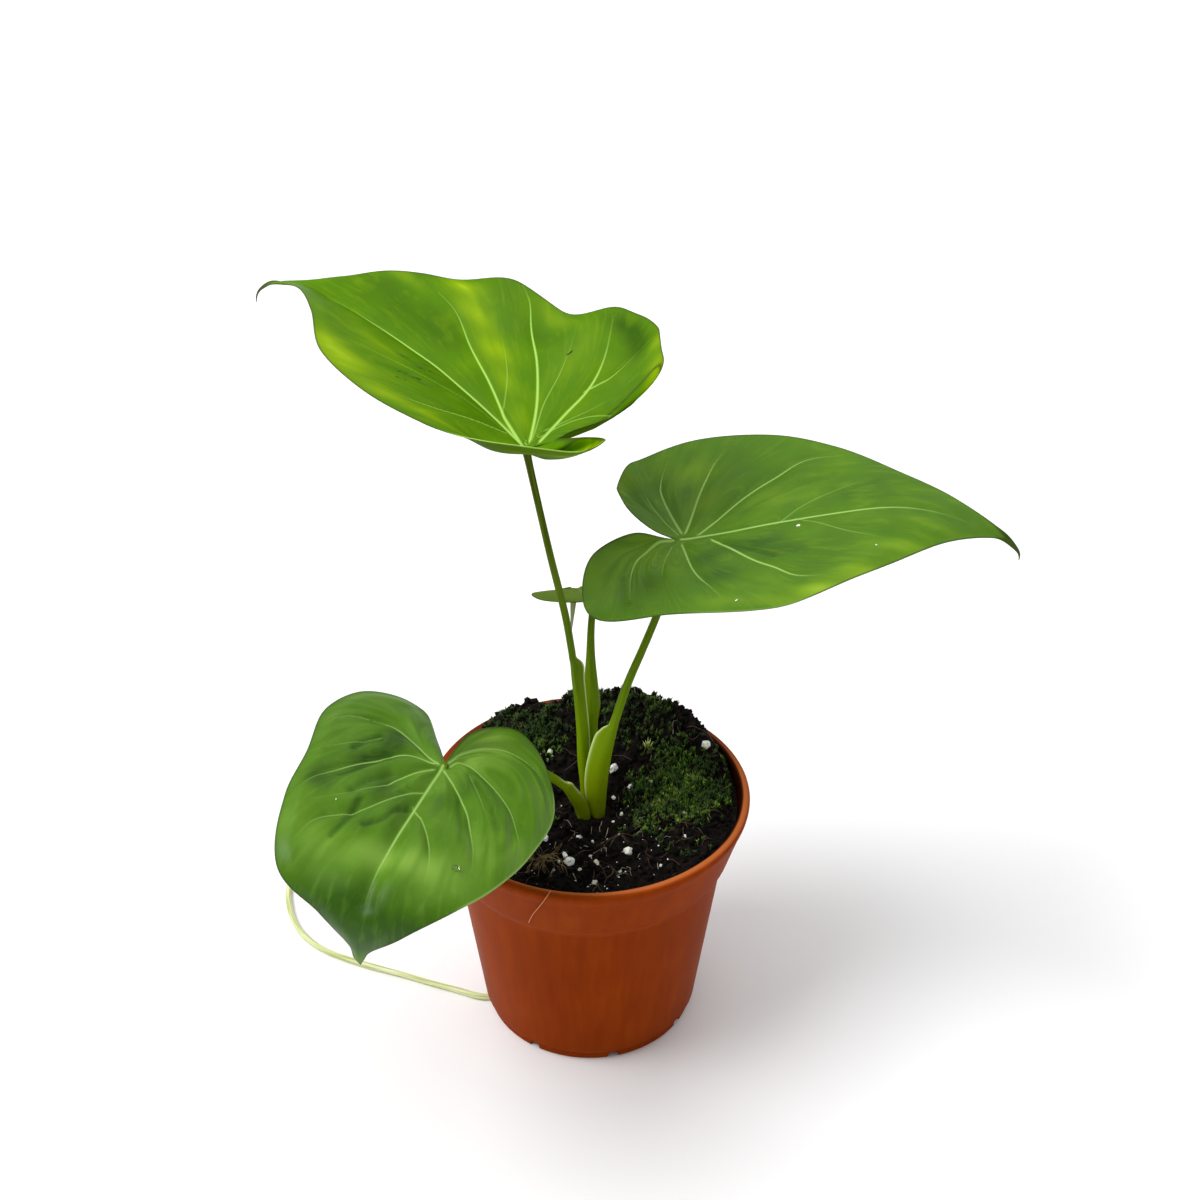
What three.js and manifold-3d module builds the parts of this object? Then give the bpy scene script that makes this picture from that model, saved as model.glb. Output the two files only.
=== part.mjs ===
// Young heart-leaved philodendron in a round nursery pot: four leaves on sheathed stalks that rise from
// one short stem, a mounded peat mix, and one thin root that trails over the surface.
// Millimetres, +Z up. The origin is the middle of the pot's flat base, on the surface it stands on.
import * as THREE from "three";
import { mergeVertices } from "three/addons/utils/BufferGeometryUtils.js";
import Module from "manifold-3d";

const wasm = await Module();
wasm.setup();

// Driving sizes of the pot
const RIM_RADIUS = 52.5;
const POT_HEIGHT = 87;
const FOOT_RADIUS = 35;
const FOOT_HEIGHT = 3.4;
const COLLAR_FOOT_Z = 67;
const COLLAR_FOOT_RADIUS = 46.8;
const WALL_TOP_Z = 64;
const WALL_TOP_RADIUS = 44.3;
const FLOOR_THICKNESS = 1.8;
const WALL_THICKNESS = 1.5;
const POT_SIDES = 48;
const NOTCHES = 8;
const NOTCH_WIDTH = 4.6;
const NOTCH_HEIGHT = 2.9;
const NOTCH_INNER_RADIUS = 29;
const FIRST_NOTCH_DEG = -77;

// Driving sizes of the peat mix
const SEAT_GAP = 0.3;
const MIX_SIDE_GAP = 0.5;
const MIX_FLOOR = FLOOR_THICKNESS + SEAT_GAP;
const MIX_RADIUS = 48.5;
const MIX_LEVEL = 82.5;
const MOUND_RISE = 13;
const MIX_RINGS = 12;
const GRAINS = 34;
const GRAIN_RADIUS = [1.2, 2.2];
const STEM_PLACE = [1, -3];
const STEM_RADIUS = 6.7;
const STEM_TOP = 79.8;
const STEM_DEPTH = 25;

// Driving sizes of the leaves
const BLADE_THICKNESS = 0.8;
const BLADE_STEPS_ALONG = 26;
const BLADE_STEPS_ACROSS = 5;
const LIFT_POWER = 1.3;
const CURL_REACH = 40;

// How far along the midrib, as a share of its length, the row to each outline point starts: the rows of
// a lobe fan out from the junction, and the others start a little ahead of where they meet the margin.
const RIB_SHARES = [0, 0, 0, 0, 0.02, 0.1, 0.28, 0.48, 0.66, 0.8, 0.9, 0.96, 1];

// Each blade: where its stalk joins it, the compass direction and slopes of its midrib in degrees,
// and its two half outlines as [along the midrib, out from it, lift] in millimetres, from the notch
// between the lobes round to the tip.
const BLADES = [
  {
    name: "tall",
    color: 0x5f9418,
    junction: [-17.5, -7, 217.8],
    heading: 130.7,
    rise: 19,
    arch: -18,
    lobeArch: 84,
    knee: { from: 0.75, over: 0.25, angle: -23.5 },
    tail: { from: 0.86, over: 0.14, angle: -33 },
    roll: 36.3,
    left: { fold: 0, curl: 0 },
    right: { fold: 60, curl: 19.5 },
    leftOutline: [
      [-6.5, 0, 8.5], [-17.5, 5.5, 13], [-27, 4.5, 15.5], [-28, 17.5, 10], [-19.5, 38.5, 6], [0.5, 50.5, -2],
      [25, 47, -5.5], [51.5, 39.5, -9], [74, 24, -3.5], [92.5, 10.5, -1], [106.5, 3.5, -1.5], [116, 2, -0.5],
      [120.5, 0, 0],
    ],
    rightOutline: [
      [-6.5, 0, 8.5], [-8, 10.5, 4.5], [-18, 37, -6], [-24, 43, -1], [-18, 43.5, 3.5], [3.5, 49.5, 1.5],
      [24, 45.5, -7.5], [44, 39, -4.5], [73, 22.5, -2.5], [92.5, 11.5, -3], [106, 3.5, -2.5],
      [116.5, 1.5, 0.5], [120.5, 0, 0],
    ],
  },
  {
    name: "right",
    color: 0x4f7d22,
    junction: [28.4, 3.6, 180.9],
    heading: -10,
    rise: 18.6,
    arch: -5,
    lobeArch: 72,
    knee: { from: 0.45, over: 0.5, angle: -41.6 },
    tail: { from: 0.86, over: 0.14, angle: -14 },
    roll: -3,
    left: { fold: 6, curl: 14.5 },
    right: { fold: -5.5, curl: 0 },
    leftOutline: [
      [-2, 0, 0], [-11, 5.5, 2], [-21.5, 17.5, 2.5], [-25.5, 29.5, 1.5], [-18, 40, 1], [-0.5, 45.5, 1],
      [25.5, 42.5, 0], [46, 33.5, -1], [65.5, 20, -2], [81.5, 10, -0.5], [93.5, 4, 1], [101, 1.5, 1.5],
      [105.5, 0, 0],
    ],
    rightOutline: [
      [-2, 0, 0], [-14, 3.5, 6], [-25, 14.5, 5.5], [-25.5, 29, 2], [-19, 40.5, 1], [0.5, 43, 2.5],
      [26, 42.5, -1], [46, 35, -3.5], [66.5, 22.5, -4], [82.5, 11, -1.5], [93.5, 3.5, 0], [100.5, 1, 1.5],
      [105.5, 0, 0],
    ],
  },
  {
    name: "low",
    color: 0x4c8220,
    junction: [-43.1, -42.1, 130.3],
    heading: 255.5,
    rise: 9.8,
    arch: -14,
    lobeArch: 2,
    knee: { from: 0.5, over: 0.4, angle: -102 },
    tail: { from: 0.86, over: 0.14, angle: -18 },
    roll: -8.4,
    left: { fold: -4.2, curl: -23 },
    right: { fold: 4, curl: 5 },
    leftOutline: [
      [-2, 0, 0], [-15.5, 3.5, 5], [-27.5, 13, 4.5], [-28, 22.5, 1.5], [-18, 31.5, -0.5], [-1.5, 37, 0.5],
      [20, 36, 0.5], [41, 31.5, 0.5], [60, 23, 0], [72.5, 12.5, 0], [81.5, 4, -0.5], [88, 1.5, -0.5],
      [93, 0, 0],
    ],
    rightOutline: [
      [-2, 0, 0], [-13.5, 6, -1.5], [-25.5, 14, -1.5], [-28, 24, -0.5], [-19.5, 34.5, 1], [-2, 39.5, 1],
      [20, 36, 0.5], [41.5, 33.5, 0.5], [62, 26.5, 0], [71.5, 12, -1], [81.5, 3.5, -1.5], [88, 1.5, -0.5],
      [93, 0, 0],
    ],
  },
  {
    name: "young",
    color: 0x76a02c,
    junction: [1.5, 8, 156.3],
    heading: 100,
    rise: -26,
    arch: -6,
    lobeArch: -10,
    knee: { from: 0.5, over: 0.4, angle: -8 },
    tail: { from: 0.74, over: 0.2, angle: -48 },
    roll: 0,
    left: { fold: 9, curl: 0 },
    right: { fold: 9, curl: 0 },
    leftOutline: [
      [-1, 0, 0], [-5, 2, 0], [-9, 6.5, 0], [-9.5, 11.5, 0], [-6, 15.5, 0], [1, 17.5, 0], [10, 16, 0],
      [19, 12, 0], [27, 7.5, 0], [34, 3.5, 0], [40, 1.8, 0], [45, 1.2, 0], [49, 0, 0],
    ],
    rightOutline: [
      [-1, 0, 0], [-5, 2, 0], [-9, 6.5, 0], [-9.5, 11.5, 0], [-6, 15.5, 0], [1, 17.5, 0], [10, 16, 0],
      [19, 12, 0], [27, 7.5, 0], [34, 3.5, 0], [40, 1.8, 0], [45, 1.2, 0], [49, 0, 0],
    ],
  },
];

// Each stalk: points of its middle line with the half width seen from the front and the half depth.
// The sheath is the broad low stretch; the top end stops short of the blade above it.
const STALKS = [
  {
    name: "tall",
    color: 0x5c7409,
    route: [
      [-0.9, -0.8, 80.1, 1.7, 1.6], [-1.2, -1, 90, 1.8, 1.7], [-1.6, -1, 100, 2, 1.7],
      [-2.2, -1.6, 112, 2.3, 1.7], [-3, -2.6, 124, 2.3, 1.6], [-4.1, -3.6, 134, 1.9, 1.5],
      [-5.8, -4.6, 145, 1.55, 1.4], [-8.1, -5.4, 160, 1.35, 1.3], [-11.2, -6, 179, 1.2, 1.2],
      [-14, -6.5, 196, 1.1, 1.1], [-17.5, -7, 216.2, 1.05, 1.05],
    ],
  },
  {
    name: "right",
    color: 0x6b8a0c,
    route: [
      [3.2, -4.9, 80.1, 2.1, 1.9], [2.6, -5.6, 86, 2.9, 2], [2.3, -6.1, 93, 3.5, 2],
      [2.7, -6.2, 101, 3.8, 2], [4.3, -5.6, 109, 3.4, 1.9], [7.2, -4.2, 119, 2.2, 1.7],
      [11.6, -2.4, 131, 1.6, 1.5], [16.7, -0.6, 143.5, 1.35, 1.3], [21.2, 0.9, 155, 1.2, 1.2],
      [25.1, 2.3, 168, 1.1, 1.1], [28.2, 3.5, 179.1, 1.05, 1.05],
    ],
  },
  {
    name: "low",
    color: 0x68850c,
    route: [
      [-1.6, -6, 80.1, 1.9, 1.8], [-2.7, -6.7, 85, 2.1, 1.9], [-4.6, -8, 90, 2.2, 2],
      [-7.6, -10.3, 96, 2, 1.9], [-11.8, -14.2, 104, 1.6, 1.6], [-18.3, -20, 113, 1.35, 1.35],
      [-26.8, -27.8, 120.6, 1.25, 1.25], [-35, -35, 124.6, 1.15, 1.15], [-42, -41.4, 127.4, 1.1, 1.1],
    ],
  },
  {
    name: "young",
    color: 0x5d7d10,
    route: [
      [2.4, -0.4, 80.1, 1.3, 1.3], [2.4, 1.2, 90, 1.5, 1.5], [1.4, 2.6, 102, 1.6, 1.6],
      [0.9, 3, 112, 2.1, 1.9], [1.2, 3.4, 119.5, 2.5, 2], [1.2, 4, 127, 1.9, 1.7],
      [0.8, 5, 137, 1.25, 1.25], [1.4, 7.8, 154.7, 1.1, 1.1],
    ],
  },
];

// The trailing root's middle line on the surface, from the notch in the pot's foot outwards
const ROOT_RADIUS = 1.15;
const ROOT_CLEARANCE = 0.1;
const ROOT_ROUTE = [
  [-33.3, -7.4], [-38.5, -7], [-45.3, -4.4], [-56, 0], [-66.8, 4.2], [-77.7, 8], [-87, 12],
  [-94.5, 16.2], [-100.8, 21.4], [-106, 28.4], [-109.6, 37], [-111.6, 48.6], [-110, 60.5], [-105, 71],
];

const rad = THREE.MathUtils.degToRad;
const smooth = (t) => THREE.MathUtils.smoothstep(t, 0, 1);

// Turns a geometry into a solid that can be cut and joined.
function solidOf(geometry) {
  const bare = geometry.index ? geometry.toNonIndexed() : geometry.clone();
  bare.deleteAttribute("normal");
  bare.deleteAttribute("uv");
  const merged = mergeVertices(bare, 1e-4);
  const mesh = new wasm.Mesh({
    numProp: 3,
    vertProperties: new Float32Array(merged.attributes.position.array),
    triVerts: new Uint32Array(merged.index.array),
  });
  return new wasm.Manifold(mesh);
}

// Turns a solid back into a geometry.
function geometryOf(solid) {
  const mesh = solid.getMesh();
  const geometry = new THREE.BufferGeometry();
  geometry.setAttribute("position", new THREE.BufferAttribute(mesh.vertProperties, 3));
  geometry.setIndex(new THREE.BufferAttribute(mesh.triVerts, 1));
  geometry.computeVertexNormals();
  return geometry;
}

// A geometry from a list of points and a list of corner indices.
function geometryFrom(points, faces) {
  const geometry = new THREE.BufferGeometry();
  geometry.setFromPoints(points);
  geometry.setIndex(faces);
  geometry.computeVertexNormals();
  return geometry;
}

// A repeatable draw of numbers from 0 to 1.
function seeded(seed) {
  let state = seed;
  return () => {
    state = (state * 1664525 + 1013904223) % 4294967296;
    return state / 4294967296;
  };
}

const group = new THREE.Group();

function add(name, geometry, color, roughness) {
  const material = new THREE.MeshStandardMaterial({ color, roughness, metalness: 0 });
  const mesh = new THREE.Mesh(geometry, material);
  mesh.name = name;
  group.add(mesh);
}

// Pot: a turned shell with a rolled lip, a flared collar, a tapering wall and a low foot
const innerWall = [
  [FOOT_RADIUS - 1, FLOOR_THICKNESS],
  [WALL_TOP_RADIUS - WALL_THICKNESS, WALL_TOP_Z],
  [COLLAR_FOOT_RADIUS - WALL_THICKNESS, COLLAR_FOOT_Z + 1.5],
  [MIX_RADIUS + 0.6, POT_HEIGHT - 5.5],
];

function potGeometry() {
  const profile = [
    [0, 0],
    [FOOT_RADIUS - 0.7, 0],
    [FOOT_RADIUS, 0.7],
    [FOOT_RADIUS, FOOT_HEIGHT],
    [FOOT_RADIUS + 0.9, FOOT_HEIGHT + 0.6],
    [FOOT_RADIUS + 1.5, FOOT_HEIGHT + 2],
    [WALL_TOP_RADIUS, WALL_TOP_Z],
    [WALL_TOP_RADIUS + 0.6, WALL_TOP_Z + 1.6],
    [COLLAR_FOOT_RADIUS - 0.5, COLLAR_FOOT_Z - 0.4],
    [COLLAR_FOOT_RADIUS, COLLAR_FOOT_Z + 0.8],
    [COLLAR_FOOT_RADIUS + 2, COLLAR_FOOT_Z + 8],
    [RIM_RADIUS - 1.2, POT_HEIGHT - 3.6],
    [RIM_RADIUS - 0.3, POT_HEIGHT - 3.1],
    [RIM_RADIUS, POT_HEIGHT - 2.1],
    [RIM_RADIUS - 0.3, POT_HEIGHT - 0.9],
    [RIM_RADIUS - 1.2, POT_HEIGHT],
    [RIM_RADIUS - 2.6, POT_HEIGHT],
    [RIM_RADIUS - 3.3, POT_HEIGHT - 0.6],
    ...innerWall.slice().reverse(),
    [0, FLOOR_THICKNESS],
  ];
  const points = profile.map(([r, z]) => new THREE.Vector2(r, z));
  return new THREE.LatheGeometry(points, POT_SIDES).rotateX(Math.PI / 2);
}

function notchGeometry(index) {
  const length = FOOT_RADIUS + 6 - NOTCH_INNER_RADIUS;
  const box = new THREE.BoxGeometry(length, NOTCH_WIDTH, NOTCH_HEIGHT + 2);
  box.translate(NOTCH_INNER_RADIUS + length / 2, 0, NOTCH_HEIGHT / 2 - 1);
  return box.rotateZ(rad(FIRST_NOTCH_DEG + (index * 360) / NOTCHES));
}

let pot = solidOf(potGeometry());
for (let i = 0; i < NOTCHES; i++) pot = pot.subtract(solidOf(notchGeometry(i)));
add("pot", geometryOf(pot), 0x9a4a22, 0.55);

// Peat mix: level in front, mounded behind, lumpy all over, and filling the pot below
function mixHeight(x, y) {
  const r = Math.hypot(x, y);
  const mound = MOUND_RISE * smooth((y + 4) / 38) * (1 - (r / 49.5) ** 18);
  const lumps =
    0.9 * Math.sin(0.42 * x + 1.1) * Math.cos(0.37 * y - 0.4) + 0.5 * Math.sin(0.83 * x - 0.61 * y);
  const fromStem = Math.hypot(x - STEM_PLACE[0], y - STEM_PLACE[1]);
  const calm = smooth((MIX_RADIUS - r) / 6) * smooth((fromStem - STEM_RADIUS) / 6);
  const hollow = -1.2 * Math.exp(-(fromStem ** 2) / 120);
  return MIX_LEVEL + mound + lumps * calm + hollow;
}

function mixGeometry() {
  const points = [];
  const faces = [];
  const wall = innerWall.map(([r, z]) => [r - MIX_SIDE_GAP, Math.max(z, MIX_FLOOR)]).reverse();
  for (let ring = 1; ring <= MIX_RINGS + wall.length; ring++) {
    for (let side = 0; side < POT_SIDES; side++) {
      const angle = (2 * Math.PI * side) / POT_SIDES;
      const onWall = ring > MIX_RINGS;
      const r = onWall ? wall[ring - MIX_RINGS - 1][0] : (MIX_RADIUS * ring) / MIX_RINGS;
      const x = r * Math.cos(angle);
      const y = r * Math.sin(angle);
      const z = onWall ? wall[ring - MIX_RINGS - 1][1] : mixHeight(x, y);
      points.push(new THREE.Vector3(x, y, z));
    }
  }
  const top = points.push(new THREE.Vector3(0, 0, mixHeight(0, 0))) - 1;
  const bottom = points.push(new THREE.Vector3(0, 0, MIX_FLOOR)) - 1;
  const last = (MIX_RINGS + wall.length - 1) * POT_SIDES;
  for (let side = 0; side < POT_SIDES; side++) {
    const next = (side + 1) % POT_SIDES;
    faces.push(top, side, next);
    faces.push(bottom, last + next, last + side);
    for (let ring = 0; ring < MIX_RINGS + wall.length - 1; ring++) {
      const a = ring * POT_SIDES + side;
      const b = ring * POT_SIDES + next;
      const c = b + POT_SIDES;
      const d = a + POT_SIDES;
      faces.push(a, d, c, a, c, b);
    }
  }
  return geometryFrom(points, faces);
}

// White grains of expanded rock, sunk to their middles in the mix
function grainGeometry(draw) {
  const angle = 2 * Math.PI * draw();
  const reach = 10 + 34 * Math.sqrt(draw());
  const [small, large] = GRAIN_RADIUS;
  const radius = small + (large - small) * draw() ** 2;
  const x = reach * Math.cos(angle);
  const y = reach * Math.sin(angle);
  const grain = new THREE.IcosahedronGeometry(radius, 0);
  grain.rotateX(Math.PI * draw()).rotateY(Math.PI * draw());
  return grain.translate(x, y, mixHeight(x, y) + 0.15 * radius);
}

const stemHole = new THREE.CylinderGeometry(STEM_RADIUS + SEAT_GAP, STEM_RADIUS + SEAT_GAP, 60, 20);
stemHole.rotateX(Math.PI / 2).translate(...STEM_PLACE, STEM_TOP - STEM_DEPTH - SEAT_GAP + 30);

const draw = seeded(41);
let mix = solidOf(mixGeometry());
for (let i = 0; i < GRAINS; i++) mix = mix.add(solidOf(grainGeometry(draw)));
mix = mix.subtract(solidOf(stemHole));
add("potting_mix", geometryOf(mix), 0x1d1812, 0.95);

// Stem: the short stock in the mix that all the stalks stand on
const stem = new THREE.CylinderGeometry(STEM_RADIUS, STEM_RADIUS - 2, STEM_DEPTH, 20);
stem.rotateX(Math.PI / 2).translate(...STEM_PLACE, STEM_TOP - STEM_DEPTH / 2);
add("stem", stem, 0x6f7a1c, 0.6);

// A round or oval rod along a route, each stop giving its middle, half width and half depth.
// Its flat ends are closed, the first one level; front is the side its width is seen from.
function rodGeometry(stops, sides, stepsPerStop) {
  const middles = new THREE.CatmullRomCurve3(stops.map((s) => new THREE.Vector3(s[0], s[1], s[2])));
  const sizes = new THREE.CatmullRomCurve3(stops.map((s) => new THREE.Vector3(s[3], s[4], 0)));
  const front = new THREE.Vector3(0, -1, 0);
  const upright = new THREE.Vector3(0, 0, 1);
  const count = (stops.length - 1) * stepsPerStop;
  const points = [];
  const faces = [];
  for (let i = 0; i <= count; i++) {
    const middle = middles.getPoint(i / count);
    const size = sizes.getPoint(i / count);
    const along = i === 0 ? upright : middles.getTangent(i / count);
    const across = along.clone().cross(front).normalize();
    const deep = across.clone().cross(along);
    for (let k = 0; k < sides; k++) {
      const angle = (2 * Math.PI * k) / sides;
      const point = middle.clone();
      point.addScaledVector(across, size.x * Math.cos(angle));
      point.addScaledVector(deep, -size.y * Math.sin(angle));
      points.push(point);
    }
  }
  const start = points.push(middles.getPoint(0)) - 1;
  const end = points.push(middles.getPoint(1)) - 1;
  for (let k = 0; k < sides; k++) {
    const next = (k + 1) % sides;
    faces.push(start, next, k, end, count * sides + k, count * sides + next);
    for (let i = 0; i < count; i++) {
      const a = i * sides + k;
      const b = i * sides + next;
      faces.push(a, b, b + sides, a, b + sides, a + sides);
    }
  }
  return geometryFrom(points, faces);
}

for (const stalk of STALKS) {
  add("petiole_" + stalk.name, rodGeometry(stalk.route, 10, 3), stalk.color, 0.5);
}

// The bent frame of a blade: where a flat point goes once the midrib arches and the halves fold and curl
function bladePlace(blade) {
  const step = 0.5;
  const back = 60;
  const length = blade.leftOutline.at(-1)[0];
  const slope = (a) => {
    if (a < 0) return rad(blade.rise + (blade.lobeArch * a) / 100);
    const knee = blade.knee.angle * smooth((a / length - blade.knee.from) / blade.knee.over);
    const tail = blade.tail.angle * smooth((a / length - blade.tail.from) / blade.tail.over);
    return rad(blade.rise + (blade.arch * a) / 100 + knee + tail);
  };
  const walk = (sign, reach) => {
    const stations = [[0, 0]];
    for (let i = 0; i * step < reach; i++) {
      const middle = slope(sign * (i + 0.5) * step);
      const [x, z] = stations[i];
      stations.push([x + sign * step * Math.cos(middle), z + sign * step * Math.sin(middle)]);
    }
    return stations;
  };
  const ahead = walk(1, length + 2);
  const behind = walk(-1, back);
  const rib = (a) => {
    const stations = a < 0 ? behind : ahead;
    const place = Math.abs(a) / step;
    const i = Math.min(Math.floor(place), stations.length - 2);
    const share = place - i;
    const [x0, z0] = stations[i];
    const [x1, z1] = stations[i + 1];
    return [x0 + (x1 - x0) * share, z0 + (z1 - z0) * share];
  };
  const turn = new THREE.Matrix4().makeRotationZ(rad(blade.heading));
  const axis = new THREE.Vector3(Math.cos(rad(blade.rise)), 0, Math.sin(rad(blade.rise)));
  const roll = new THREE.Matrix4().makeRotationAxis(axis, rad(blade.roll));
  return (a, b, lift) => {
    const half = b < 0 ? blade.right : blade.left;
    const fold = rad(half.fold);
    const curl = rad(half.curl) / CURL_REACH || 1e-6;
    const out = Math.abs(b);
    const across = (Math.sin(fold + curl * out) - Math.sin(fold)) / curl;
    const up = (Math.cos(fold) - Math.cos(fold + curl * out)) / curl + lift;
    const [x, z] = rib(a);
    const e = slope(a);
    const point = new THREE.Vector3(x - up * Math.sin(e), Math.sign(b) * across, z + up * Math.cos(e));
    point.applyMatrix4(roll).applyMatrix4(turn);
    return point.add(new THREE.Vector3(...blade.junction));
  };
}

// One half blade as rows from the midrib out to the margin.
function halfRows(blade, outline, sign) {
  const place = bladePlace(blade);
  const knots = outline.map((knot) => new THREE.Vector3(...knot));
  const margins = new THREE.CatmullRomCurve3(knots, false, "catmullrom");
  const stations = new THREE.SplineCurve(RIB_SHARES.map((share, i) => new THREE.Vector2(i, share)));
  const length = outline.at(-1)[0];
  const rows = [];
  for (let i = 0; i <= BLADE_STEPS_ALONG; i++) {
    const t = i / BLADE_STEPS_ALONG;
    const margin = margins.getPoint(t);
    const station = length * Math.max(0, stations.getPoint(t).y);
    const row = [];
    for (let k = 0; k <= BLADE_STEPS_ACROSS; k++) {
      const share = k / BLADE_STEPS_ACROSS;
      const a = station + (margin.x - station) * share;
      const b = sign * Math.max(margin.y, 0) * share;
      row.push(place(a, b, margin.z * share ** LIFT_POWER));
    }
    rows.push(row);
  }
  return rows;
}

// Thin sheet to closed blade: the same triangles on both faces, joined round the free edge.
function thicken(points, faces, thickness) {
  const sheet = mergeVertices(geometryFrom(points, faces).deleteAttribute("normal"), 1e-3);
  sheet.computeVertexNormals();
  const count = sheet.attributes.position.count;
  const corners = Array.from(sheet.index.array);
  const both = [];
  for (const depth of [0, thickness]) {
    for (let i = 0; i < count; i++) {
      const point = new THREE.Vector3().fromBufferAttribute(sheet.attributes.position, i);
      const normal = new THREE.Vector3().fromBufferAttribute(sheet.attributes.normal, i);
      both.push(point.addScaledVector(normal, -depth));
    }
  }
  const closed = [];
  const edges = new Map();
  for (let i = 0; i < corners.length; i += 3) {
    const [a, b, c] = corners.slice(i, i + 3);
    if (a === b || b === c || c === a) continue;
    closed.push(a, b, c, count + a, count + c, count + b);
    for (const [from, to] of [[a, b], [b, c], [c, a]]) {
      if (edges.delete(to + "," + from)) continue;
      edges.set(from + "," + to, [from, to]);
    }
  }
  for (const [from, to] of edges.values()) closed.push(from, count + from, count + to, from, count + to, to);
  return geometryFrom(both, closed);
}

function bladeGeometry(blade) {
  const points = [];
  const faces = [];
  const halves = [
    [blade.leftOutline, 1],
    [blade.rightOutline, -1],
  ];
  for (const [outline, sign] of halves) {
    const rows = halfRows(blade, outline, sign);
    const base = points.length;
    const wide = BLADE_STEPS_ACROSS + 1;
    points.push(...rows.flat());
    for (let i = 0; i < BLADE_STEPS_ALONG; i++) {
      for (let k = 0; k < BLADE_STEPS_ACROSS; k++) {
        const a = base + i * wide + k;
        const b = a + 1;
        const c = b + wide;
        const d = a + wide;
        if (sign > 0) faces.push(a, d, c, a, c, b);
        else faces.push(a, c, d, a, b, c);
      }
    }
  }
  return thicken(points, faces, BLADE_THICKNESS);
}

for (const blade of BLADES) {
  add("blade_" + blade.name, bladeGeometry(blade), blade.color, 0.45);
}

// Trailing root: a thin rod that lies on the surface
const rootHeight = ROOT_RADIUS + ROOT_CLEARANCE;
const rootSpine = new THREE.CatmullRomCurve3(ROOT_ROUTE.map(([x, y]) => new THREE.Vector3(x, y, rootHeight)));
const rootSection = new THREE.Shape();
rootSection.absarc(0, 0, ROOT_RADIUS, 0, 2 * Math.PI);
const root = new THREE.ExtrudeGeometry(rootSection, { extrudePath: rootSpine, steps: 44, curveSegments: 4 });
add("trailing_root", root, 0xc3c98a, 0.5);

export default group;
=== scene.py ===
# %% [markdown]
# # A young philodendron in a nursery pot
# Three large heart-shaped leaves and one small new one stand on stalks that rise from one short stem, in
# a plastic pot full of peat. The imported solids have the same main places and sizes. This lesson gives
# each of them its fine surface and its finish, one piece at a time.

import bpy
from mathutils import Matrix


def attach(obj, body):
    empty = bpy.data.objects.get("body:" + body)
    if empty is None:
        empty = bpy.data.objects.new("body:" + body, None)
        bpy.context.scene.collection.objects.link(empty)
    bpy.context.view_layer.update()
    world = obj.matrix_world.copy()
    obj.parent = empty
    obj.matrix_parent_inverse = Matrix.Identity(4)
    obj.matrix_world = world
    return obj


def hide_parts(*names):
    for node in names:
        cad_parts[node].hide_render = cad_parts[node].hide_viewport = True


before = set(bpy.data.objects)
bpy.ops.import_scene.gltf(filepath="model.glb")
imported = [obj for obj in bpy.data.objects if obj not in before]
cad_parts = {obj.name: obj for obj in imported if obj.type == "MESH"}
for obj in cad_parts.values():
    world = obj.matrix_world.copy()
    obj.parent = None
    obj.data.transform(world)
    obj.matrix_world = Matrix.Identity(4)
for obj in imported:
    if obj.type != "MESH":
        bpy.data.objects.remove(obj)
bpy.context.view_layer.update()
print("solids:", ", ".join(sorted(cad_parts)))

# %% [markdown]
# Lengths are written in millimetres, because that is how a plant and a pot are measured. They become
# metres once, at the moment a mesh is made. Angles are written in degrees.

# %% Units and libraries
import math

import bmesh
import bpy
import numpy as np

MM = 0.001
scene = bpy.context.scene
print("one unit here is", MM, "m")

# %% [markdown]
# ## Camera
# The photograph looks down at the plant from the front, about 0.7 m away. The outline of the pot gives
# the camera's place and a dip of 33 degrees. It doesn't settle the lens, since a longer one further away
# fits about as well, so a round 60 mm on a 36 mm sensor is used. The camera comes first, so that every
# later piece can be judged through it.

# %% The camera
CAMERA_PLACE = (3.5, -510.2, 498.0)
CAMERA_DIP = 33.43
CAMERA_LENS = 60
CAMERA_SENSOR = 36
CAMERA_REACH = 30

camera_data = bpy.data.cameras.new("camera")
camera_data.lens = CAMERA_LENS
camera_data.sensor_width = CAMERA_SENSOR
camera_data.clip_end = CAMERA_REACH
camera = bpy.data.objects.new("camera", camera_data)
camera.location = [value * MM for value in CAMERA_PLACE]
camera.rotation_euler = (math.radians(90 - CAMERA_DIP), 0, 0)
scene.collection.objects.link(camera)
scene.camera = camera
print("camera at", CAMERA_PLACE, "mm, dipped", CAMERA_DIP, "degrees")

# %% [markdown]
# ## Meshes from arrays
# Each new surface is worked out by numpy as an array of points, and handed to Blender in one go. A tube
# or a sheet is a grid of points, so its faces follow from the grid's shape alone.

# %% From arrays to meshes
def grid_faces(rows, columns, around=False, start=0):
    """Four-cornered faces between neighbouring rows and columns of a grid of points; around joins the
    last column to the first.
    """
    row, column = np.meshgrid(
        np.arange(rows - 1), np.arange(columns if around else columns - 1), indexing="ij"
    )
    beside = (column + 1) % columns
    corners = [
        row * columns + column, row * columns + beside, (row + 1) * columns + beside,
        (row + 1) * columns + column,
    ]
    return np.stack(corners, -1).reshape(-1, 4) + start


def fan_faces(ring, centre, flip=False):
    """Triangles from one middle point to each side of a closed ring of points."""
    ring = np.asarray(ring)
    beside = np.roll(ring, -1)
    if flip:
        ring, beside = beside, ring
    return np.stack([ring, beside, np.full(len(ring), centre)], -1)


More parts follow.
